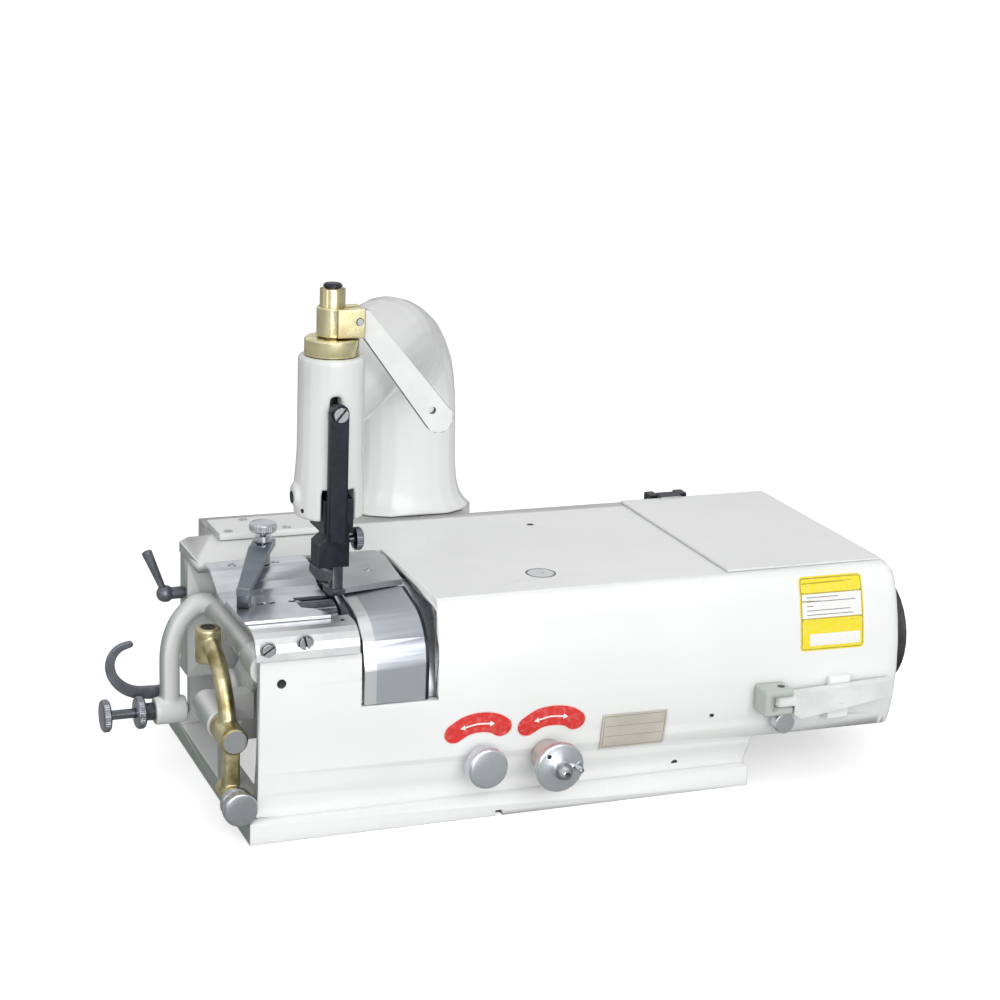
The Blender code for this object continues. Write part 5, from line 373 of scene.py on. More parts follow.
def rimmed_guard(name):
    """The bent guard: painted reflection bands, a bright left rim and painted shade on its right.
    """
    recipe = Recipe(name)
    rounded = recipe.soft_edge(0.0004)
    rim = recipe.past(0, *GUARD_RIM_END)
    # Painted reflection: broad pale and grey bands across the polished guard
    reflection_bands = recipe.noise(16.0, detail=1.0, stretch=(1.0, 0.2, 0.2))
    scratches = recipe.noise(60.0, detail=5.0, stretch=(1.0, 26.0, 26.0))
    tone = recipe.mix(reflection_bands.step(0.35, 0.62), GUARD_GREY, GUARD_PALE)
    tone = recipe.mix(rim, GUARD_RIM, tone)
    # Painted shade: the guard's right flank goes near black
    flank_shade = recipe.past(0, *GUARD_FLANK_START)
    tone = recipe.mix(flank_shade, tone, GUARD_FLANK_SHADE)
    normal = recipe.bump(scratches, depth=0.000008, normal=rounded)
    return recipe.set(Base_Color=tone, Metallic=1.0, Roughness=0.27 + rim * 0.06
                      + scratches * 0.06, Normal=normal)


def turned_steel(name, colour, centre, axis, rough):
    """Lathe-turned metal with concentric marks about its own axis."""
    recipe = Recipe(name)
    rounded = recipe.soft_edge(SMALL_EDGE)
    marks = recipe.turning_marks(centre, axis, TURNING_PITCH)
    smears = recipe.noise(120.0, detail=3.0)
    dark = tuple(0.70 * part for part in colour)
    tone = recipe.mix(marks.step(0.35, 0.75) * 0.30 + smears * 0.25, colour, dark)
    tone = recipe.mix(recipe.edge_share(rounded) * 0.6, tone, TURNED_EDGE)
    # The turned steel darkens towards black in corners narrower than 2 mm
    tone = recipe.grimed(tone, reach=0.002, share=0.7, corner_tone=TURNED_CORNER_DARK)
    rough_now = rough + marks * 0.08 + smears * 0.08
    normal = recipe.bump(marks, depth=0.000010, normal=rounded)
    return recipe.set(Base_Color=tone, Metallic=1.0, Roughness=rough_now, Normal=normal)


def worn_brass(name, colour, deep, rough, relief):
    """Brass that is bright where hands rub it and brown where they don't."""
    recipe = Recipe(name)
    rounded = recipe.soft_edge(0.0006)
    patches = recipe.noise(70.0, detail=4.0)
    pits = recipe.noise(420.0, detail=2.0)
    tone = recipe.mix(patches.step(0.36, 0.72), colour, deep)
    tone = recipe.mix(recipe.edge_share(rounded) * 0.55, tone, BRASS_EDGE)
    tone = recipe.grimed(tone, reach=0.004, share=0.7, corner_tone=BRASS_GRIME)
    rough_now = rough + patches * 0.16 + pits * 0.06
    normal = recipe.bump(pits + patches * 2.0, relief, rounded)
    return recipe.set(Base_Color=tone, Metallic=1.0, Roughness=rough_now, Normal=normal)


def blackened_steel(name, colour, worn, rough):
    """Blackened steel with the black rubbed off its edges."""
    recipe = Recipe(name)
    rounded = recipe.soft_edge(0.0005)
    mottle = recipe.noise(150.0, detail=4.0)
    rub = (recipe.edge_share(rounded) * mottle.step(0.35, 0.6)).least(1.0)
    tone = recipe.mix(mottle.step(0.3, 0.8) * 0.5, colour, tuple(1.7 * part for part in colour))
    tone = recipe.mix(rub * 0.8, tone, worn)
    rough_now = rough - rub * 0.12 + mottle * 0.15
    normal = recipe.bump(recipe.noise(500.0, detail=2.0), depth=0.000012, normal=rounded)
    return recipe.set(Base_Color=tone, Metallic=0.75, Roughness=rough_now, Normal=normal)


def ringed_sight(name):
    """The sight disc in the table's top: grey, with a dark line round its rim."""
    recipe = Recipe(name)
    start, end = SIGHT_RIM
    rim = recipe.radius_about(at(*SIGHT_MIDDLE), 2).step(start * MM, end * MM)
    tone = recipe.mix(rim, SIGHT_GREY, SIGHT_LINE)
    normal = recipe.bump(recipe.noise(300.0), depth=0.00001, normal=recipe.soft_edge(0.0003))
    return recipe.set(Base_Color=tone, Roughness=0.30, Normal=normal)


def grinding_grit(name):
    """Bonded grit of the grinding stone, in pink and brown grains."""
    recipe = Recipe(name)
    grains = recipe.node("ShaderNodeTexVoronoi", {}, {"Vector": recipe.place, "Scale": GRAIN_SCALE})
    blotches = recipe.noise(220.0)
    tone = recipe.ramp(blotches * 0.5 + grains * 0.5, GRIT_STOPS)
    normal = recipe.bump(grains + blotches, depth=0.00008)
    return recipe.set(Base_Color=tone, Roughness=0.93, Normal=normal)


def plain_rubber(name):
    """Dull black rubber with a little dust."""
    recipe = Recipe(name)
    dust = recipe.noise(160.0)
    tone = recipe.mix(dust.step(0.4, 0.8) * 0.5, RUBBER, RUBBER_DUSTY)
    normal = recipe.bump(recipe.noise(900.0), depth=0.00003)
    return recipe.set(Base_Color=tone, Roughness=0.72 + dust * 0.15, Normal=normal)


def black_casting(name):
    """Black paint over the cast pulleys."""
    recipe = Recipe(name)
    rounded = recipe.soft_edge(0.0006)
    dust = recipe.noise(80.0)
    tone = recipe.mix(dust.step(0.35, 0.8) * 0.6, IRON_BLACK, IRON_DUSTY)
    normal = recipe.bump(recipe.noise(420.0, detail=4.0), depth=0.00004, normal=rounded)
    return recipe.set(Base_Color=tone, Roughness=0.38 + dust * 0.2, Normal=normal)


def printed(name, colour, rough=0.30):
    """Ink on a vinyl label, a little uneven and with a faint film texture."""
    recipe = Recipe(name)
    wear = recipe.noise(300.0, detail=4.0)
    pale = tuple(part + (1.0 - part) * 0.12 for part in colour)
    tone = recipe.mix(wear.step(0.45, 0.8), colour, pale)
    normal = recipe.bump(recipe.noise(900.0, detail=2.0), depth=0.000006)
    return recipe.set(Base_Color=tone, Roughness=rough + wear * 0.12, Normal=normal)


enamel = cast_enamel("enamel", ENAMEL_WHITE, ENAMEL_GREY, edge_radius=0.0016, waviness=0.00025)
plate_steel = ground_steel("plate_steel", STEEL, rough=0.22)
front_steel = ground_steel("front_steel", (0.84, 0.85, 0.87), rough=0.42)
guard_steel = rimmed_guard("guard_steel")
satin_steel = ground_steel("satin_steel", DULL_STEEL, rough=0.32)
small_steel = ground_steel("small_steel", (0.60, 0.62, 0.65), rough=0.22, grain=0.05)
arm_steel = ground_steel("arm_steel", (0.27, 0.30, 0.345), grain_turn=1.2, rough=0.34)
lever_steel = ground_steel("lever_steel", (0.88, 0.89, 0.885), rough=0.26, grain=0.06,
                           metal=0.15)
plate_tin = ground_steel("plate_tin", (0.80, 0.74, 0.66), rough=0.34, metal=0.5)
dark_steel = blackened_steel("dark_steel", GUN_STEEL, worn=(0.55, 0.56, 0.58), rough=0.30)
foot_steel = blackened_steel("foot_steel", (0.075, 0.080, 0.095), worn=(0.42, 0.43, 0.46),
                             rough=0.28)
black_steel = blackened_steel("black_steel", BLACK_STEEL, worn=(0.30, 0.31, 0.34), rough=0.30)
pale_brass = worn_brass("pale_brass", PALE_BRASS, TARNISHED_BRASS, rough=0.16, relief=0.00002)
cast_brass = worn_brass("cast_brass", DEEP_BRASS, BROWN_BRASS, rough=0.26, relief=0.00010)
grit = grinding_grit("grinding_grit")
belt_rubber = plain_rubber("belt_rubber")
black_iron = black_casting("black_iron")
label_red = printed("label_red", (0.70, 0.035, 0.030))
label_yellow = printed("label_yellow", (0.87, 0.72, 0.03))
label_white = printed("label_white", (0.86, 0.86, 0.84))
label_ink = printed("label_ink", (0.10, 0.10, 0.14))
label_pink = printed("label_pink", (0.90, 0.62, 0.60))
label_olive = printed("label_olive", (0.42, 0.34, 0.03))
plate_ink = printed("plate_ink", (0.24, 0.19, 0.13))
# Black for seams and black parts, and painted shade in holes
seam_black_and_hole_shade = printed("seam_black_and_hole_shade", (0.012, 0.012, 0.013), rough=0.6)


FINISHES = {
    "main_casting": enamel, "rear_plate": enamel, "belt_case": enamel,
    # Painted shade: the arm takes a darker copy of the body's enamel
    "arm_casting": cast_enamel("arm_shaded_enamel", (0.79, 0.80, 0.795), (0.72, 0.735, 0.725),
                               edge_radius=0.0016, waviness=0.00035),
    "lifter_lever": faced_lever("lever_enamel"),
    "swing_frame": enamel, "top_cover": enamel,
    "lever_clevis": cast_enamel("clevis_enamel", (0.52, 0.56, 0.53), (0.46, 0.50, 0.47),
                                edge_radius=0.0010, waviness=0.00015),
    "table_bracket": satin_steel, "front_plate": front_steel, "guide_plate": plate_steel,
    "back_plate": plate_steel, "knife_cover_plate": satin_steel, "knife_guard": guard_steel,
    "guide_arm": arm_steel, "stone_lever": lever_steel, "data_plate": plate_tin,
    "knife_quill": dark_steel, "stone_carriage": dark_steel, "feed_roller": dark_steel,
    "presser_foot": foot_steel, "hook": dark_steel, "ball_lever": dark_steel,
    "bar_cap": black_steel, "presser_hanger": black_steel, "cover_hinge": black_steel,
    "presser_bar": pale_brass, "bar_collar": pale_brass, "lifter_block": pale_brass,
    "brass_lever": cast_brass, "grinding_stone": grit, "feed_belt": belt_rubber,
    "knife_pulley": black_iron, "stone_pulley": black_iron, "feed_pulley": black_iron,
    "presser_spring": small_steel, "lifter_pin": small_steel, "hanger_screw": small_steel,
    "swing_pin": satin_steel, "knife_shaft": satin_steel, "guide_post": satin_steel,
    "oil_sight": ringed_sight("oil_sight_face"),
}
# Turned pieces: the axis that their rings go round, colour and roughness
TURNED = {
    "bell_knife": (0, STEEL, 0.20), "knife_flange": (0, STEEL, 0.20),
    "knife_bearing_front": (0, STEEL, 0.20), "knife_bearing_rear": (0, STEEL, 0.20),
    "stone_spindle": (0, STEEL, 0.20), "feed_shaft": (0, STEEL, 0.20),
    "roller_shaft": (0, STEEL, 0.20), "lever_roller": (1, STEEL, 0.20),
    "guide_thumb_screw": (2, STEEL, 0.20), "knife_knob": (1, KNOB_STEEL, 0.22),
    "stone_knob": (1, KNOB_STEEL, 0.22), "stone_knob_barrel": (1, (0.66, 0.58, 0.54), 0.28),
    "lever_knob": (1, (0.55, 0.57, 0.60), 0.18), "foot_screw": (0, GUN_STEEL, 0.24),
    "tilt_screw": (0, SCREW_STEEL, 0.22), "lock_disc": (0, SCREW_STEEL, 0.22),
}


def finish_nodes():
    """Gives every solid its finish; the rings of turned pieces centre on their middles."""
    for node, (axis, colour, rough) in TURNED.items():
        low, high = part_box(node)
        FINISHES[node] = turned_steel(node + "_steel", colour, (low + high) / 2, axis, rough)
    for name, item in frame["nodes"].items():
        for slot in item.material_slots:
            slot.material = FINISHES[name]


# ---- Shapes

# Corners nearer than this, in metres, become one: in pieces, and in a solid to be remeshed
MERGE_REACH = 0.000005
SOLID_MERGE_REACH = 0.000001
# Edges are left sharp above these many degrees
PIECE_ANGLE = 35.0
KNURLING_ANGLE = 25.0
SKIN_ANGLE = 28.0
CASTING_ANGLE = 60.0
# How deep the four points of a tooth of knurling lie, from its crest at 0 to its groove at 1
TOOTH_PROFILE = (1.0, 0.5, 0.0, 0.5)
# A knurled band's drawn-in ends as a share of its width, and its bore as a share of its radius
BAND_END_SHARE = 0.1
BAND_BORE_SHARE = 0.9
# Half the slot of a screw head as a share of the head's radius, and the steps round each half
SLOT_SHARE = 0.17
HEAD_STEPS = 12
# Steps round the end of a strip and round a patch's corner, and up a patch
END_STEPS = 9
CORNER_STEPS = 6
PATCH_STEPS = 24
# Rays that look for the front skins start from this Y in metres
RAY_START = -0.5


def as_piece(shape, name, body, material, smooth=PIECE_ANGLE):
    """Makes a finished mesh a piece that rides on a body."""
    bmesh.ops.remove_doubles(shape, verts=shape.verts, dist=MERGE_REACH)
    bmesh.ops.recalc_face_normals(shape, faces=shape.faces)
    mesh = bpy.data.meshes.new(name)
    shape.to_mesh(mesh)
    shape.free()
    mesh.materials.append(material)
    mesh.shade_smooth()
    mesh.set_sharp_from_angle(angle=math.radians(smooth))
    item = bpy.data.objects.new(name, mesh)
    bpy.context.scene.collection.objects.link(item)
    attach(item, body)
    return item


def face_towards(shape, centre, axis, turn=0.0):
    """Turns a shape made along +Z to point along axis, and moves it to centre."""
    lean = Z_AXIS.rotation_difference(Vector(axis)).to_matrix().to_4x4()
    spun = Matrix.Rotation(turn, 4, "Z")
    bmesh.ops.transform(shape, matrix=Matrix.Translation(centre) @ lean @ spun, verts=shape.verts)


def corners_of(made):
    """The corners among what an operator has made."""
    return [item for item in made["geom"] if isinstance(item, bmesh.types.BMVert)]


def widen(shape, corners, factor):
    """Scales corners about the Z axis."""
    bmesh.ops.scale(shape, vec=Vector((factor, factor, 1.0)), verts=corners)


def knurled_band(name, body, material, centre, axis, radius, width, teeth, depth):
    """A ring of straight knurling that wraps the rim of a knob, with its ends drawn in."""
    shape = bmesh.new()
    points = len(TOOTH_PROFILE)
    bmesh.ops.create_circle(shape, segments=points * teeth, radius=radius)
    for index, vertex in enumerate(shape.verts):
        vertex.co *= 1 - depth * TOOTH_PROFILE[index % points] / radius
    widen(shape, shape.verts, 1 - depth / radius)
    first = list(shape.edges)
    edges = first
    rise = width * BAND_END_SHARE
    for growth, lift in ((depth, rise), (0.0, width - 2 * rise), (-depth, rise)):
        made = bmesh.ops.extrude_edge_only(shape, edges=edges)
        edges = [item for item in made["geom"] if isinstance(item, bmesh.types.BMEdge)]
        bmesh.ops.translate(shape, vec=Z_AXIS * lift, verts=corners_of(made))
        widen(shape, corners_of(made), 1 + growth / radius)
    for loop in (edges, first):
        made = bmesh.ops.extrude_edge_only(shape, edges=loop)
        widen(shape, corners_of(made), BAND_BORE_SHARE)
    bmesh.ops.bridge_loops(shape, edges=[edge for edge in shape.edges if edge.is_boundary])
    bmesh.ops.translate(shape, vec=Z_AXIS * -width / 2, verts=shape.verts)
    face_towards(shape, centre, axis)
    return as_piece(shape, name, body, material, KNURLING_ANGLE)


def even_steps(start, end, count):
    """Numbers from start to end, both included."""
    return [start + (end - start) * index / count for index in range(count + 1)]


def arc(radius, start, end, count):
    """Points along part of a circle."""
    return [(radius * math.cos(turn), radius * math.sin(turn))
            for turn in even_steps(start, end, count)]


def circle(radius, count=32):
    """Points round a full circle."""
    return arc(radius, 0.0, 2.0 * math.pi, count)[:-1]


def prism(shape, outline, low, high):
    """Adds a closed prism over a flat outline."""
    base = shape.faces.new([shape.verts.new((x, y, low)) for x, y in outline])
    made = bmesh.ops.extrude_face_region(shape, geom=[base])
    bmesh.ops.translate(shape, vec=Z_AXIS * (high - low), verts=corners_of(made))


def disc(name, body, material, place, axis, radius, height, count=32):
    """A flat round piece; place is the middle of its underside."""
    shape = bmesh.new()
    prism(shape, circle(radius, count), 0.0, height)
    face_towards(shape, place, axis)
    return as_piece(shape, name, body, material)


def slotted_head(name, body, material, place, axis, radius, height, turn):
    """A screw head with a real slot; place is the middle of its underside."""
    shape = bmesh.new()
    reach = math.asin(SLOT_SHARE)
    for side in (0.0, math.pi):
        outline = arc(radius, side + reach, side + math.pi - reach, HEAD_STEPS)
        prism(shape, outline, 0.0, height)
    face_towards(shape, place, axis, turn)
    return as_piece(shape, name, body, material)


def block(name, body, material, low, high):
    """A square-edged block between two corners."""
    shape = bmesh.new()
    outline = ((low.x, low.y), (high.x, low.y), (high.x, high.y), (low.x, high.y))
    prism(shape, outline, low.z, high.z)
    return as_piece(shape, name, body, material)


def tree_of(node):
    """The faces of a node's solid, ready to be touched by rays."""
    shape = bmesh.new()
    shape.from_mesh(frame["nodes"][node].data)
    tree = BVHTree.FromBMesh(shape)
    shape.free()
    return tree


BODY_TREE = tree_of("main_casting")
PLATE_TREE = tree_of("front_plate")
LABEL_PLATE_TREE = tree_of("data_plate")


def touch(tree, place):
    """Where a ray from the front, level with a place, first meets a skin."""
    return tree.ray_cast(Vector((place.x, RAY_START, place.z)), Y_AXIS)[0]


def laid_sheet(name, material, rows, tree, lift):
    """A sheet on the front of a skin, over rows of places; lift is in millimetres."""
    shape = bmesh.new()
    grid = bmesh.ops.create_grid(shape, x_segments=len(rows[0]) - 1, y_segments=len(rows) - 1)
    for corner, place in zip(grid["verts"], sum(rows, [])):
        corner.co = touch(tree, place) - Y_AXIS * lift * MM
    return as_piece(shape, name, "body", material)


def lean_of(start, end):
    """The direction from one flat place to another, one unit long."""
    length = math.hypot(end[0] - start[0], end[1] - start[1])
    return (end[0] - start[0]) / length, (end[1] - start[1]) / length


def moved(place, lean, reach):
    """A flat place moved along a direction."""
    return place[0] + lean[0] * reach, place[1] + lean[1] * reach


def laid_strip(name, material, line, halves, lift, cells=6):
    """A strip of the given half widths along a line of millimetre X and Z on the front face."""
    rows = [[] for cell in range(cells + 1)]
    for index, place in enumerate(line):
        along = lean_of(line[max(index - 1, 0)], line[min(index + 1, len(line) - 1)])
        for cell, row in enumerate(rows):
            reach = halves[index] * (2.0 * cell / cells - 1.0)
            x, z = moved(place, (-along[1], along[0]), reach)
            row.append(at(x, 0.0, z))
    return laid_sheet(name, material, rows, BODY_TREE, lift)


def along_curve(points, count):
    """Even steps along a smooth curve through the points."""
    fine = []
    for index in range(len(points) - 1):
        ends = [points[max(index - 1, 0)], points[index], points[index + 1],
                points[min(index + 2, len(points) - 1)]]
        for step in range(count):
            share = step / count
            fine.append(tuple(
                0.5 * (2 * q + (r - p) * share + (2 * p - 5 * q + 4 * r - t) * share ** 2
                       + (3 * q - p - 3 * r + t) * share ** 3)
                for p, q, r, t in zip(*ends)))
    return fine + [points[-1]]


def quarter_turn(count):
    """Even steps from no turn to a quarter of a turn."""
    return even_steps(0.0, math.pi / 2, count)


def round_ends(line, half):
    """The line drawn out to hold round ends, and the half widths that give them."""
    caps = []
    for place, inner in ((line[0], line[1]), (line[-1], line[-2])):
        lean = lean_of(inner, place)
        caps.append([(moved(place, lean, half * math.sin(turn)), half * math.cos(turn))
                     for turn in quarter_turn(END_STEPS)[1:]])
    whole = caps[0][::-1] + [(place, half) for place in line] + caps[1]
    return [place for place, width in whole], [width for place, width in whole]


# The presser post, in mm: its middle in X and Y, then the top and the half width of its slot,
# and how far the slot runs behind the middle
POST_MIDDLE = (64.0, 52.0)
SLOT_TOP = 220.7
SLOT_HALF = 11.3
SLOT_BACK = 15.0


def in_post_slot(place):
    """Whether a place lies in the presser post's slot, where the foot's block slides."""
    out = place - at(*POST_MIDDLE, SLOT_TOP)
    return out.z < 0.0 and abs(out.x) < SLOT_HALF * MM and out.y < SLOT_BACK * MM


def body_of(node):
    """The body that carries a node."""
    return next(name for name, nodes in frame["record"]["behaviour"]["bodies"].items()
                if node in nodes)


def smooth_skin(node, voxel, passes, kept_true):
    """A finer skin over a casting, with the soft corners that sand casting leaves.

    Where kept_true says so of a place, the skin is drawn back to the solid's own surface.
    """
    name = node + "_skin"
    shape = bmesh.new()
    shape.from_mesh(frame["nodes"][node].data)
    bmesh.ops.remove_doubles(shape, verts=shape.verts, dist=SOLID_MERGE_REACH)
    mesh = bpy.data.meshes.new(name)
    shape.to_mesh(mesh)
    shape.free()
    item = bpy.data.objects.new(name, mesh)
    bpy.context.scene.collection.objects.link(item)
    remesh = item.modifiers.new("remesh", "REMESH")
    remesh.mode = "VOXEL"
    remesh.voxel_size = voxel
    remesh.use_smooth_shade = True
    settled = bpy.data.meshes.new_from_object(
        item.evaluated_get(bpy.context.evaluated_depsgraph_get()))
    bpy.data.objects.remove(item)
    shape = bmesh.new()
    shape.from_mesh(settled)
    for count in range(passes):
        bmesh.ops.smooth_vert(shape, verts=shape.verts, factor=0.5, use_axis_x=True,
                              use_axis_y=True, use_axis_z=True)
    if kept_true:
        solid = tree_of(node)
        for vertex in shape.verts:
            if kept_true(vertex.co):
                vertex.co = solid.find_nearest(vertex.co)[0]
    made = as_piece(shape, name, body_of(node), FINISHES[node], CASTING_ANGLE)
    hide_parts(node)


# ---- Pieces

# Remeshed skins: cell size in metres, rounds of smoothing, and where they keep to the solid
REMESHED = {
    "arm_casting": (0.0012, 5, in_post_slot), "swing_frame": (0.0009, 4, None),
    "brass_lever": (0.0006, 5, None), "hook": (0.0004, 4, None),
}
# The spring keeps its own mesh, because that one shortens with the presser bar
LEFT_AS_THEY_ARE = ("presser_spring",)
# How much the large faces decide the normals, where 50 is even and 100 the most
LARGE_FACE_PULL = 100


def make_skins():
    """Gives every node a skin whose round faces shade as round."""
    for node, (voxel, passes, kept_true) in REMESHED.items():
        smooth_skin(node, voxel, passes, kept_true)
    for node, item in frame["nodes"].items():
        if node in REMESHED or node in LEFT_AS_THEY_ARE:
            continue
        shape = bmesh.new()
        shape.from_mesh(item.data)
        made = as_piece(shape, node + "_skin", body_of(node), FINISHES[node], SKIN_ANGLE)
        weighted = made.modifiers.new("weighted", "WEIGHTED_NORMAL")
        weighted.keep_sharp = True
        weighted.weight = LARGE_FACE_PULL
        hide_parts(node)


# Knurled bands: node, its axis, the band's middle in mm from the near end (from the far end
# when negative), width in mm, teeth, and in mm how far crests stand out and grooves go in
KNURLING = {
    "knife_knob_knurling": ("knife_knob", 1, 5.0, 7.4, 60, 0.25, 0.45),
    "lever_knob_knurling": ("lever_knob", 1, 4.0, 5.8, 52, 0.25, 0.45),
    "stone_knob_knurling": ("stone_knob", 1, 14.0, 3.4, 64, 0.25, 0.45),
    "tilt_screw_knurling": ("tilt_screw", 0, 2.75, 4.0, 44, 0.25, 0.45),
    "lock_disc_knurling": ("lock_disc", 0, 3.0, 4.0, 44, 0.25, 0.45),
    "foot_screw_knurling": ("foot_screw", 0, -2.75, 3.8, 34, 0.20, 0.40),
    "guide_screw_knurling": ("guide_thumb_screw", 2, -3.0, 4.2, 40, 0.20, 0.40),
}


def make_knurling():
    """Knurls the rims of the knobs and of the hand screws."""
    for name, (node, axis, middle, width, teeth, stand, depth) in KNURLING.items():
        low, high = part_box(node)
        centre = (low + high) / 2
        centre[axis] = (low if middle > 0.0 else high)[axis] + middle * MM
        across = 2 if axis == 0 else 0
        knurled_band(name, body_of(node), FINISHES[node], centre, AXES[axis],
                     (high[across] - low[across]) / 2 + stand * MM, width * MM, teeth,
                     depth * MM)


# Screw heads: body, place in mm, axis, radius and height in mm, turn in degrees, and the
# washer's radius in mm or 0 for none
SCREWS = {
    "back_plate_screw_left": ("body", (16.5, 109.3, 150.4), Z_AXIS, 2.6, 0.5, 35, 0.0),
    "back_plate_screw_right": ("body", (46.0, 109.3, 150.4), Z_AXIS, 2.6, 0.5, 70, 0.0),
    "guide_slot_screw_left": ("body", (23.5, 52.0, 140.5), Z_AXIS, 1.7, 0.9, 60, 0.0),
    "guide_slot_screw_right": ("body", (44.5, 52.0, 140.5), Z_AXIS, 1.7, 0.9, 20, 0.0),
    "cover_plate_screw": ("body", (100.2, 78.4, 150.4), Z_AXIS, 3.0, 0.5, 50, 0.0),
    "rear_plate_screw_left": ("body", (29.5, 167.0, 155.7), Z_AXIS, 3.0, 0.5, 15, 0.0),
    "rear_plate_screw_back": ("body", (46.5, 192.0, 155.7), Z_AXIS, 3.0, 0.5, 100, 0.0),
    "rear_plate_screw_right": ("body", (70.5, 167.0, 155.7), Z_AXIS, 3.0, 0.5, 60, 0.0),
    "front_plate_screw_left": ("body", (10.0, None, 129.5), -Y_AXIS, 4.0, 1.5, 35, 5.4),
    "front_plate_screw_right": ("body", (34.0, None, 132.0), -Y_AXIS, 4.0, 1.5, 105, 5.4),
    "hanger_head": ("presser", (61.5, 21.72, 270.0), -Y_AXIS, 4.6, 0.7, 50, 0.0),
}
# Painted shade in the holes, sockets, recess and dimple; the set screw and plug are black parts
# Dark holes and sockets: body, place in mm, axis, radius in mm, number of sides
HOLES = {
    "front_plate_hole": ("body", (62.9, 15.3, 139.3), Z_AXIS, 1.4, 20),
    "face_hole_upper": ("body", (316.8, None, 56.6), -Y_AXIS, 1.6, 24),
    "face_hole_lower": ("body", (296.8, 6.3, 20.5), Vector((0.0, -0.90, -0.44)), 2.2, 24),
    "face_set_screw": ("body", (19.7, None, 105.7), -Y_AXIS, 3.0, 28),
    "oil_hole_dark": ("body", (244.0, 149.0, 150.2), Z_AXIS, 2.5, 24),
    "stone_knob_hole": ("stone_knob", (190.6, -26.7, 49.0), -Y_AXIS, 1.5, 24),
    "oil_sight_dimple": ("body", SIGHT_MIDDLE, Z_AXIS, 1.9, 20),
    "brass_head_plug": ("brass_lever", (-8.5, 74.0, 121.5), Z_AXIS, 4.9, 28),
    "post_hole": ("body", (43.9, 42.8, 204.2), Vector((-0.89, -0.45, 0.0)), 1.5, 20),
    "post_screw_recess": ("body", (39.5, 52.0, 211.0), -X_AXIS, 4.0, 28),
}
WASHER_HEIGHT = 0.7
# Dark discs, in mm: how deep they are sunk, the height of a hole's disc and of a screw's seat,
# and how far a seat reaches past its screw's head
SUNK = 0.05
HOLE_HEIGHT = 0.25
SEAT_HEIGHT = 0.12
SEAT_MARGIN = 0.35


def on_skin(place):
    """A place in the scene; one without a Y lies where the front skin is."""
    if place[1] is not None:
        return at(*place)
    hits = [touch(tree, at(place[0], 0.0, place[2])) for tree in (BODY_TREE, PLATE_TREE)]
    return min((hit for hit in hits if hit), key=lambda hit: hit.y)


def make_screws():
    """Slotted heads over dark seats, some of them on washers."""
    for name, (body, place, axis, radius, height, turn, washer) in SCREWS.items():
        seat = on_skin(place)
        if washer:
            disc(name + "_washer", body, small_steel, seat, axis, washer * MM,
                 WASHER_HEIGHT * MM)
            seat = seat + axis * WASHER_HEIGHT * MM
        slotted_head(name, body, small_steel, seat, axis, radius * MM, height * MM,
                     math.radians(turn))
        disc(name + "_seat", body, seam_black_and_hole_shade, seat - axis * SUNK * MM, axis,
             (radius + SEAT_MARGIN) * MM, SEAT_HEIGHT * MM)


def make_holes():
    """Dark discs: painted shade in the small holes and sockets, and two black parts."""
    for name, (body, place, axis, radius, sides) in HOLES.items():
        disc(name, body, seam_black_and_hole_shade, on_skin(place) - axis.normalized() * SUNK * MM, axis,
             radius * MM, HOLE_HEIGHT * MM, sides)
    low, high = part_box("stone_knob")
    tip = (low + high) / 2
    tip.y = low.y
    disc("stone_knob_socket", "stone_knob", seam_black_and_hole_shade, tip, -Y_AXIS, radius=2.1 * MM,
         height=0.02 * MM, count=6)


def make_faces():
    """Thin faces and sleeves of a finish unlike the solid's under them; two are painted shade."""
    low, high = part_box("lever_clevis")
    pin = Vector((at(360.5, 0, 0).x, low.y + 7.5 * MM, high.z - SUNK * MM))
    # Painted shade: a black disc in the clevis's pin hole
    disc("clevis_pin_hole_shade", "body", seam_black_and_hole_shade, pin, Z_AXIS, radius=2.5 * MM, height=0.1 * MM)
    disc("brass_hub_cap", "brass_lever", small_steel, at(-5.0, 19.0, 63.0), -Y_AXIS,
         radius=7.6 * MM, height=0.5 * MM, count=48)
    # Painted shade: a black sleeve over the brass bar where it stands in the shaded post slot
    disc("bar_slot_shade", "presser", black_steel, at(*POST_MIDDLE, 199.0), Z_AXIS,
         radius=8.15 * MM, height=84.0 * MM)
    disc("cover_knuckle_black", "top_cover", black_steel, at(361.9, 192.0, 151.2), X_AXIS,
         radius=2.95 * MM, height=16.2 * MM)
    block("cover_tongue_black", "top_cover", black_steel, at(361.8, 182.4, 152.8),
          at(378.2, 192.0, 153.9))


# X and Z in mm of the points that the red arcs, and the arrows on them, run through
RED_ARCS = {
    "knife": [(134.6, 61.3), (143.0, 66.2), (152.8, 67.6), (161.2, 66.2), (166.4, 63.3)],
    "stone": [(184.6, 61.6), (193.2, 66.6), (203.6, 67.7), (212.4, 66.1), (217.6, 63.0)],
}
ARROWS = {
    "knife": [(141.4, 65.0), (149.8, 66.7), (158.4, 66.3)],
    "stone": [(191.9, 65.6), (200.5, 67.3), (209.2, 66.6)],
}
# The layers of an arc label: finish, half width and lift in mm
ARC_LAYERS = {"edge": (label_pink, 7.5, 0.10), "field": (label_red, 6.9, 0.16)}
# The arrow on it, in mm: half width of its shaft, length and half width of its heads, and lift
ARROW_HALF = 0.55
ARROW_HEAD_LENGTH = 3.2
ARROW_HEAD_HALVES = (1.9, 0.05)
ARROW_LIFT = 0.24


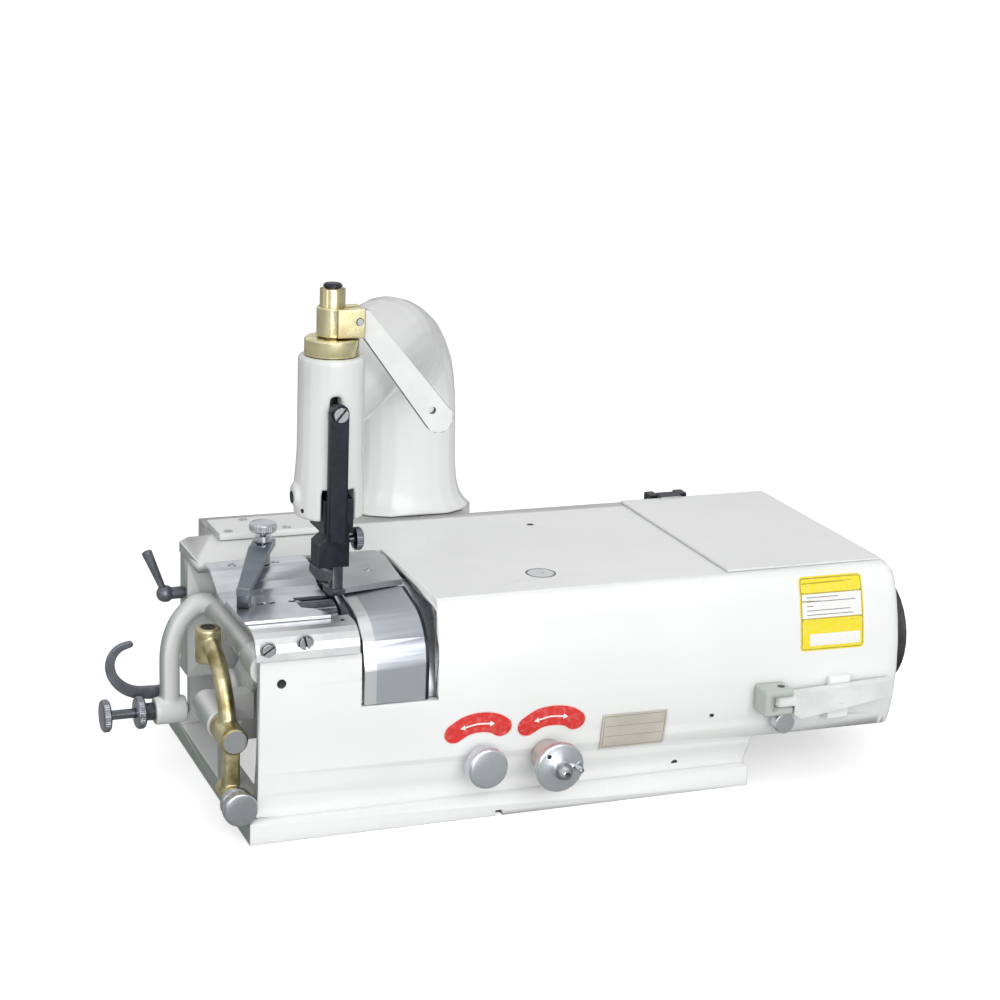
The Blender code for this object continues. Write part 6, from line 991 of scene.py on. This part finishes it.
def make_arc_labels():
    """A red arc with a two-way arrow above each setting knob."""
    for knob, points in RED_ARCS.items():
        line = along_curve(points, count=6)
        for part, (material, half, lift) in ARC_LAYERS.items():
            drawn, halves = round_ends(line, half)
            laid_strip("label_" + knob + "_" + part, material, drawn, halves, lift)
        shaft = along_curve(ARROWS[knob], count=8)
        laid_strip("label_" + knob + "_arrow", label_white, shaft, [ARROW_HALF] * len(shaft),
                   ARROW_LIFT, cells=2)
        for end, tip, inner in (("left", shaft[0], shaft[2]), ("right", shaft[-1], shaft[-3])):
            point = moved(tip, lean_of(inner, tip), ARROW_HEAD_LENGTH)
            laid_strip("label_" + knob + "_head_" + end, label_white, [tip, point],
                       ARROW_HEAD_HALVES, ARROW_LIFT, cells=2)


def patch(name, material, left, right, bottom, top, lift, corner):
    """A rectangle laid on the front face, with its corners rounded when it has a corner size."""
    rises = even_steps(bottom, top, PATCH_STEPS)
    if corner:
        turns = quarter_turn(CORNER_STEPS)
        low = [bottom + corner * (1.0 - math.cos(turn)) for turn in turns]
        high = [top - corner * (1.0 - math.cos(turn)) for turn in reversed(turns)]
        rises = low + [rise for rise in rises if low[-1] < rise < high[0]] + high
    middle = (left + right) / 2
    halves = []
    for rise in rises:
        short = max(bottom + corner - rise, rise - top + corner, 0.0)
        inset = corner - math.sqrt(max(corner ** 2 - short ** 2, 0.0))
        halves.append((right - left) / 2 - inset)
    return laid_strip(name, material, [(middle, rise) for rise in rises], halves, lift, cells=8)


# The sticker's layers: finish, left, right, bottom and top, lift and corner radius, all in mm
STICKER_LAYERS = {
    "edge": (label_yellow, 378.5, 426.5, 96.8, 145.8, 0.10, 3.0),
    "frame": (label_olive, 379.3, 425.7, 97.6, 145.0, 0.15, 2.4),
    "band": (label_yellow, 380.0, 425.0, 135.6, 144.3, 0.20, 1.7),
    "field": (label_white, 380.1, 424.9, 119.0, 134.8, 0.20, 0.0),
    "foot": (label_yellow, 380.0, 425.0, 98.3, 118.2, 0.20, 1.7),
    "panel": (label_white, 385.5, 423.5, 100.2, 108.3, 0.25, 0.0),
}
# Its ruled lines: height, start and end in mm; then their half width and lift
STICKER_RULES = ((132.7, 383.5, 407.5), (129.8, 383.5, 420.5), (126.9, 383.5, 388.5),
                 (124.0, 383.5, 416.5), (121.1, 383.5, 418.5))
RULE_HALF = 0.22
RULE_LIFT = 0.27


def make_sticker():
    """A yellow and white notice with ruled lines in place of its words."""
    for part, (material, *place) in STICKER_LAYERS.items():
        patch("sticker_" + part, material, *place)
    for number, (height, start, end) in enumerate(STICKER_RULES, 1):
        laid_strip("sticker_rule_%d" % number, label_ink, [(start, height), (end, height)],
                   [RULE_HALF] * 2, RULE_LIFT, cells=1)


# Rules on the data plate: left, right, bottom and top from its lower left corner, and their
# lift, all in mm
PLATE_RULES = {
    "top": (1.4, 44.6, 23.6, 23.85), "bottom": (1.4, 44.6, 1.2, 1.45),
    "left": (1.2, 1.45, 1.4, 23.6), "right": (44.6, 44.85, 1.4, 23.6),
    "upper": (2.4, 43.6, 16.4, 16.6), "lower": (2.4, 43.6, 9.0, 9.2),
}
PLATE_RULE_LIFT = 0.06
PLATE_RULE_CELLS = 8


def make_data_plate():
    """Thin brown rules round the edge and across the bare plate."""
    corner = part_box("data_plate")[0]
    for part, (left, right, bottom, top) in PLATE_RULES.items():
        rows = [[corner + Vector((across, 0.0, rise)) * MM for across in (left, right)]
                for rise in even_steps(bottom, top, PLATE_RULE_CELLS)]
        laid_sheet("data_plate_rule_" + part, plate_ink, rows, LABEL_PLATE_TREE,
                   PLATE_RULE_LIFT)


# ---- Room and light

FLOOR_REACH = 14.0
# The floor fades to white between these distances from its middle, in metres
FLOOR_FADE = (0.5, 1.6)
FLOOR_TO_LIGHT = (0.42, 0.43, 0.42)
FLOOR_TO_CAMERA = (0.84, 0.84, 0.84)
FLOOR_GLOW = 0.50
FLOOR_FAR_GLOW = 0.52
# Brightness of the room from straight below, at 0, to straight above, at 1
ROOM_STOPS = ((0.0, 0.25), (0.35, 0.42), (0.50, 0.34), (0.64, 0.78), (0.82, 0.46), (1.0, 0.98))
# Lamps: name, place and size in metres, watts
LAMPS = (
    ("key", (-0.15, -2.15, 0.85), 1.8, 31.0),
    ("left", (-1.50, -1.20, 0.70), 1.0, 3.5),
    ("back", (-0.10, 1.50, 1.60), 1.5, 0.8),
)
LAMP_TARGET = Vector((0.05, 0.0, 0.12))


def make_floor():
    """A pale floor, which the camera sees as white and which fades to white with distance."""
    shape = bmesh.new()
    bmesh.ops.create_grid(shape, x_segments=1, y_segments=1, size=FLOOR_REACH)
    mesh = bpy.data.meshes.new("floor")
    shape.to_mesh(mesh)
    shape.free()
    recipe = Recipe("floor")
    seen = recipe.node("ShaderNodeLightPath", output="Is Camera Ray")
    far = recipe.radius_about((0.0, 0.0, 0.0), 2).step(*FLOOR_FADE)
    near = recipe.mix(seen, FLOOR_TO_LIGHT, FLOOR_TO_CAMERA)
    recipe.set(Base_Color=recipe.mix(far * seen, near, BLACK), Roughness=0.9,
               Emission_Color=WHITE,
               Emission_Strength=seen * (FLOOR_GLOW + far * FLOOR_FAR_GLOW))
    mesh.materials.append(recipe.material)
    floor = bpy.data.objects.new("floor", mesh)
    bpy.context.scene.collection.objects.link(floor)


def make_world():
    """White to the camera; to all else a soft room that is brighter above than at the sides."""
    world = bpy.data.worlds.new("studio")
    world.use_nodes = True
    bpy.context.scene.world = world
    nodes = world.node_tree.nodes
    links = world.node_tree.links
    direction = nodes.new("ShaderNodeSeparateXYZ")
    links.new(nodes.new("ShaderNodeTexCoord").outputs["Generated"], direction.inputs[0])
    room = nodes.new("ShaderNodeValToRGB")
    set_stops(room.color_ramp, [(place, (level,) * 3) for place, level in ROOM_STOPS])
    height = nodes.new("ShaderNodeMapRange")
    height.inputs["From Min"].default_value = -1.0
    links.new(direction.outputs["Z"], height.inputs["Value"])
    links.new(height.outputs[0], room.inputs["Fac"])
    choice = nodes.new("ShaderNodeMix")
    choice.data_type = "RGBA"
    links.new(nodes.new("ShaderNodeLightPath").outputs["Is Camera Ray"], choice.inputs[0])
    links.new(room.outputs["Color"], choice.inputs[6])
    choice.inputs[7].default_value = (*WHITE, 1.0)
    links.new(choice.outputs[2], nodes["Background"].inputs["Color"])


def make_lamps():
    """Soft square lamps, all turned to the machine."""
    for name, place, size, power in LAMPS:
        data = bpy.data.lights.new(name, "AREA")
        data.shape = "SQUARE"
        data.size = size
        data.energy = power
        lamp = bpy.data.objects.new(name, data)
        lamp.location = place
        aim = LAMP_TARGET - Vector(place)
        lamp.rotation_euler = aim.to_track_quat("-Z", "Y").to_euler()
        bpy.context.scene.collection.objects.link(lamp)


bpy.context.scene.view_settings.view_transform = "Standard"
make_camera()
finish_nodes()
make_skins()
make_knurling()
make_screws()
make_holes()
make_faces()
make_arc_labels()
make_sticker()
make_data_plate()
make_floor()
make_world()
make_lamps()
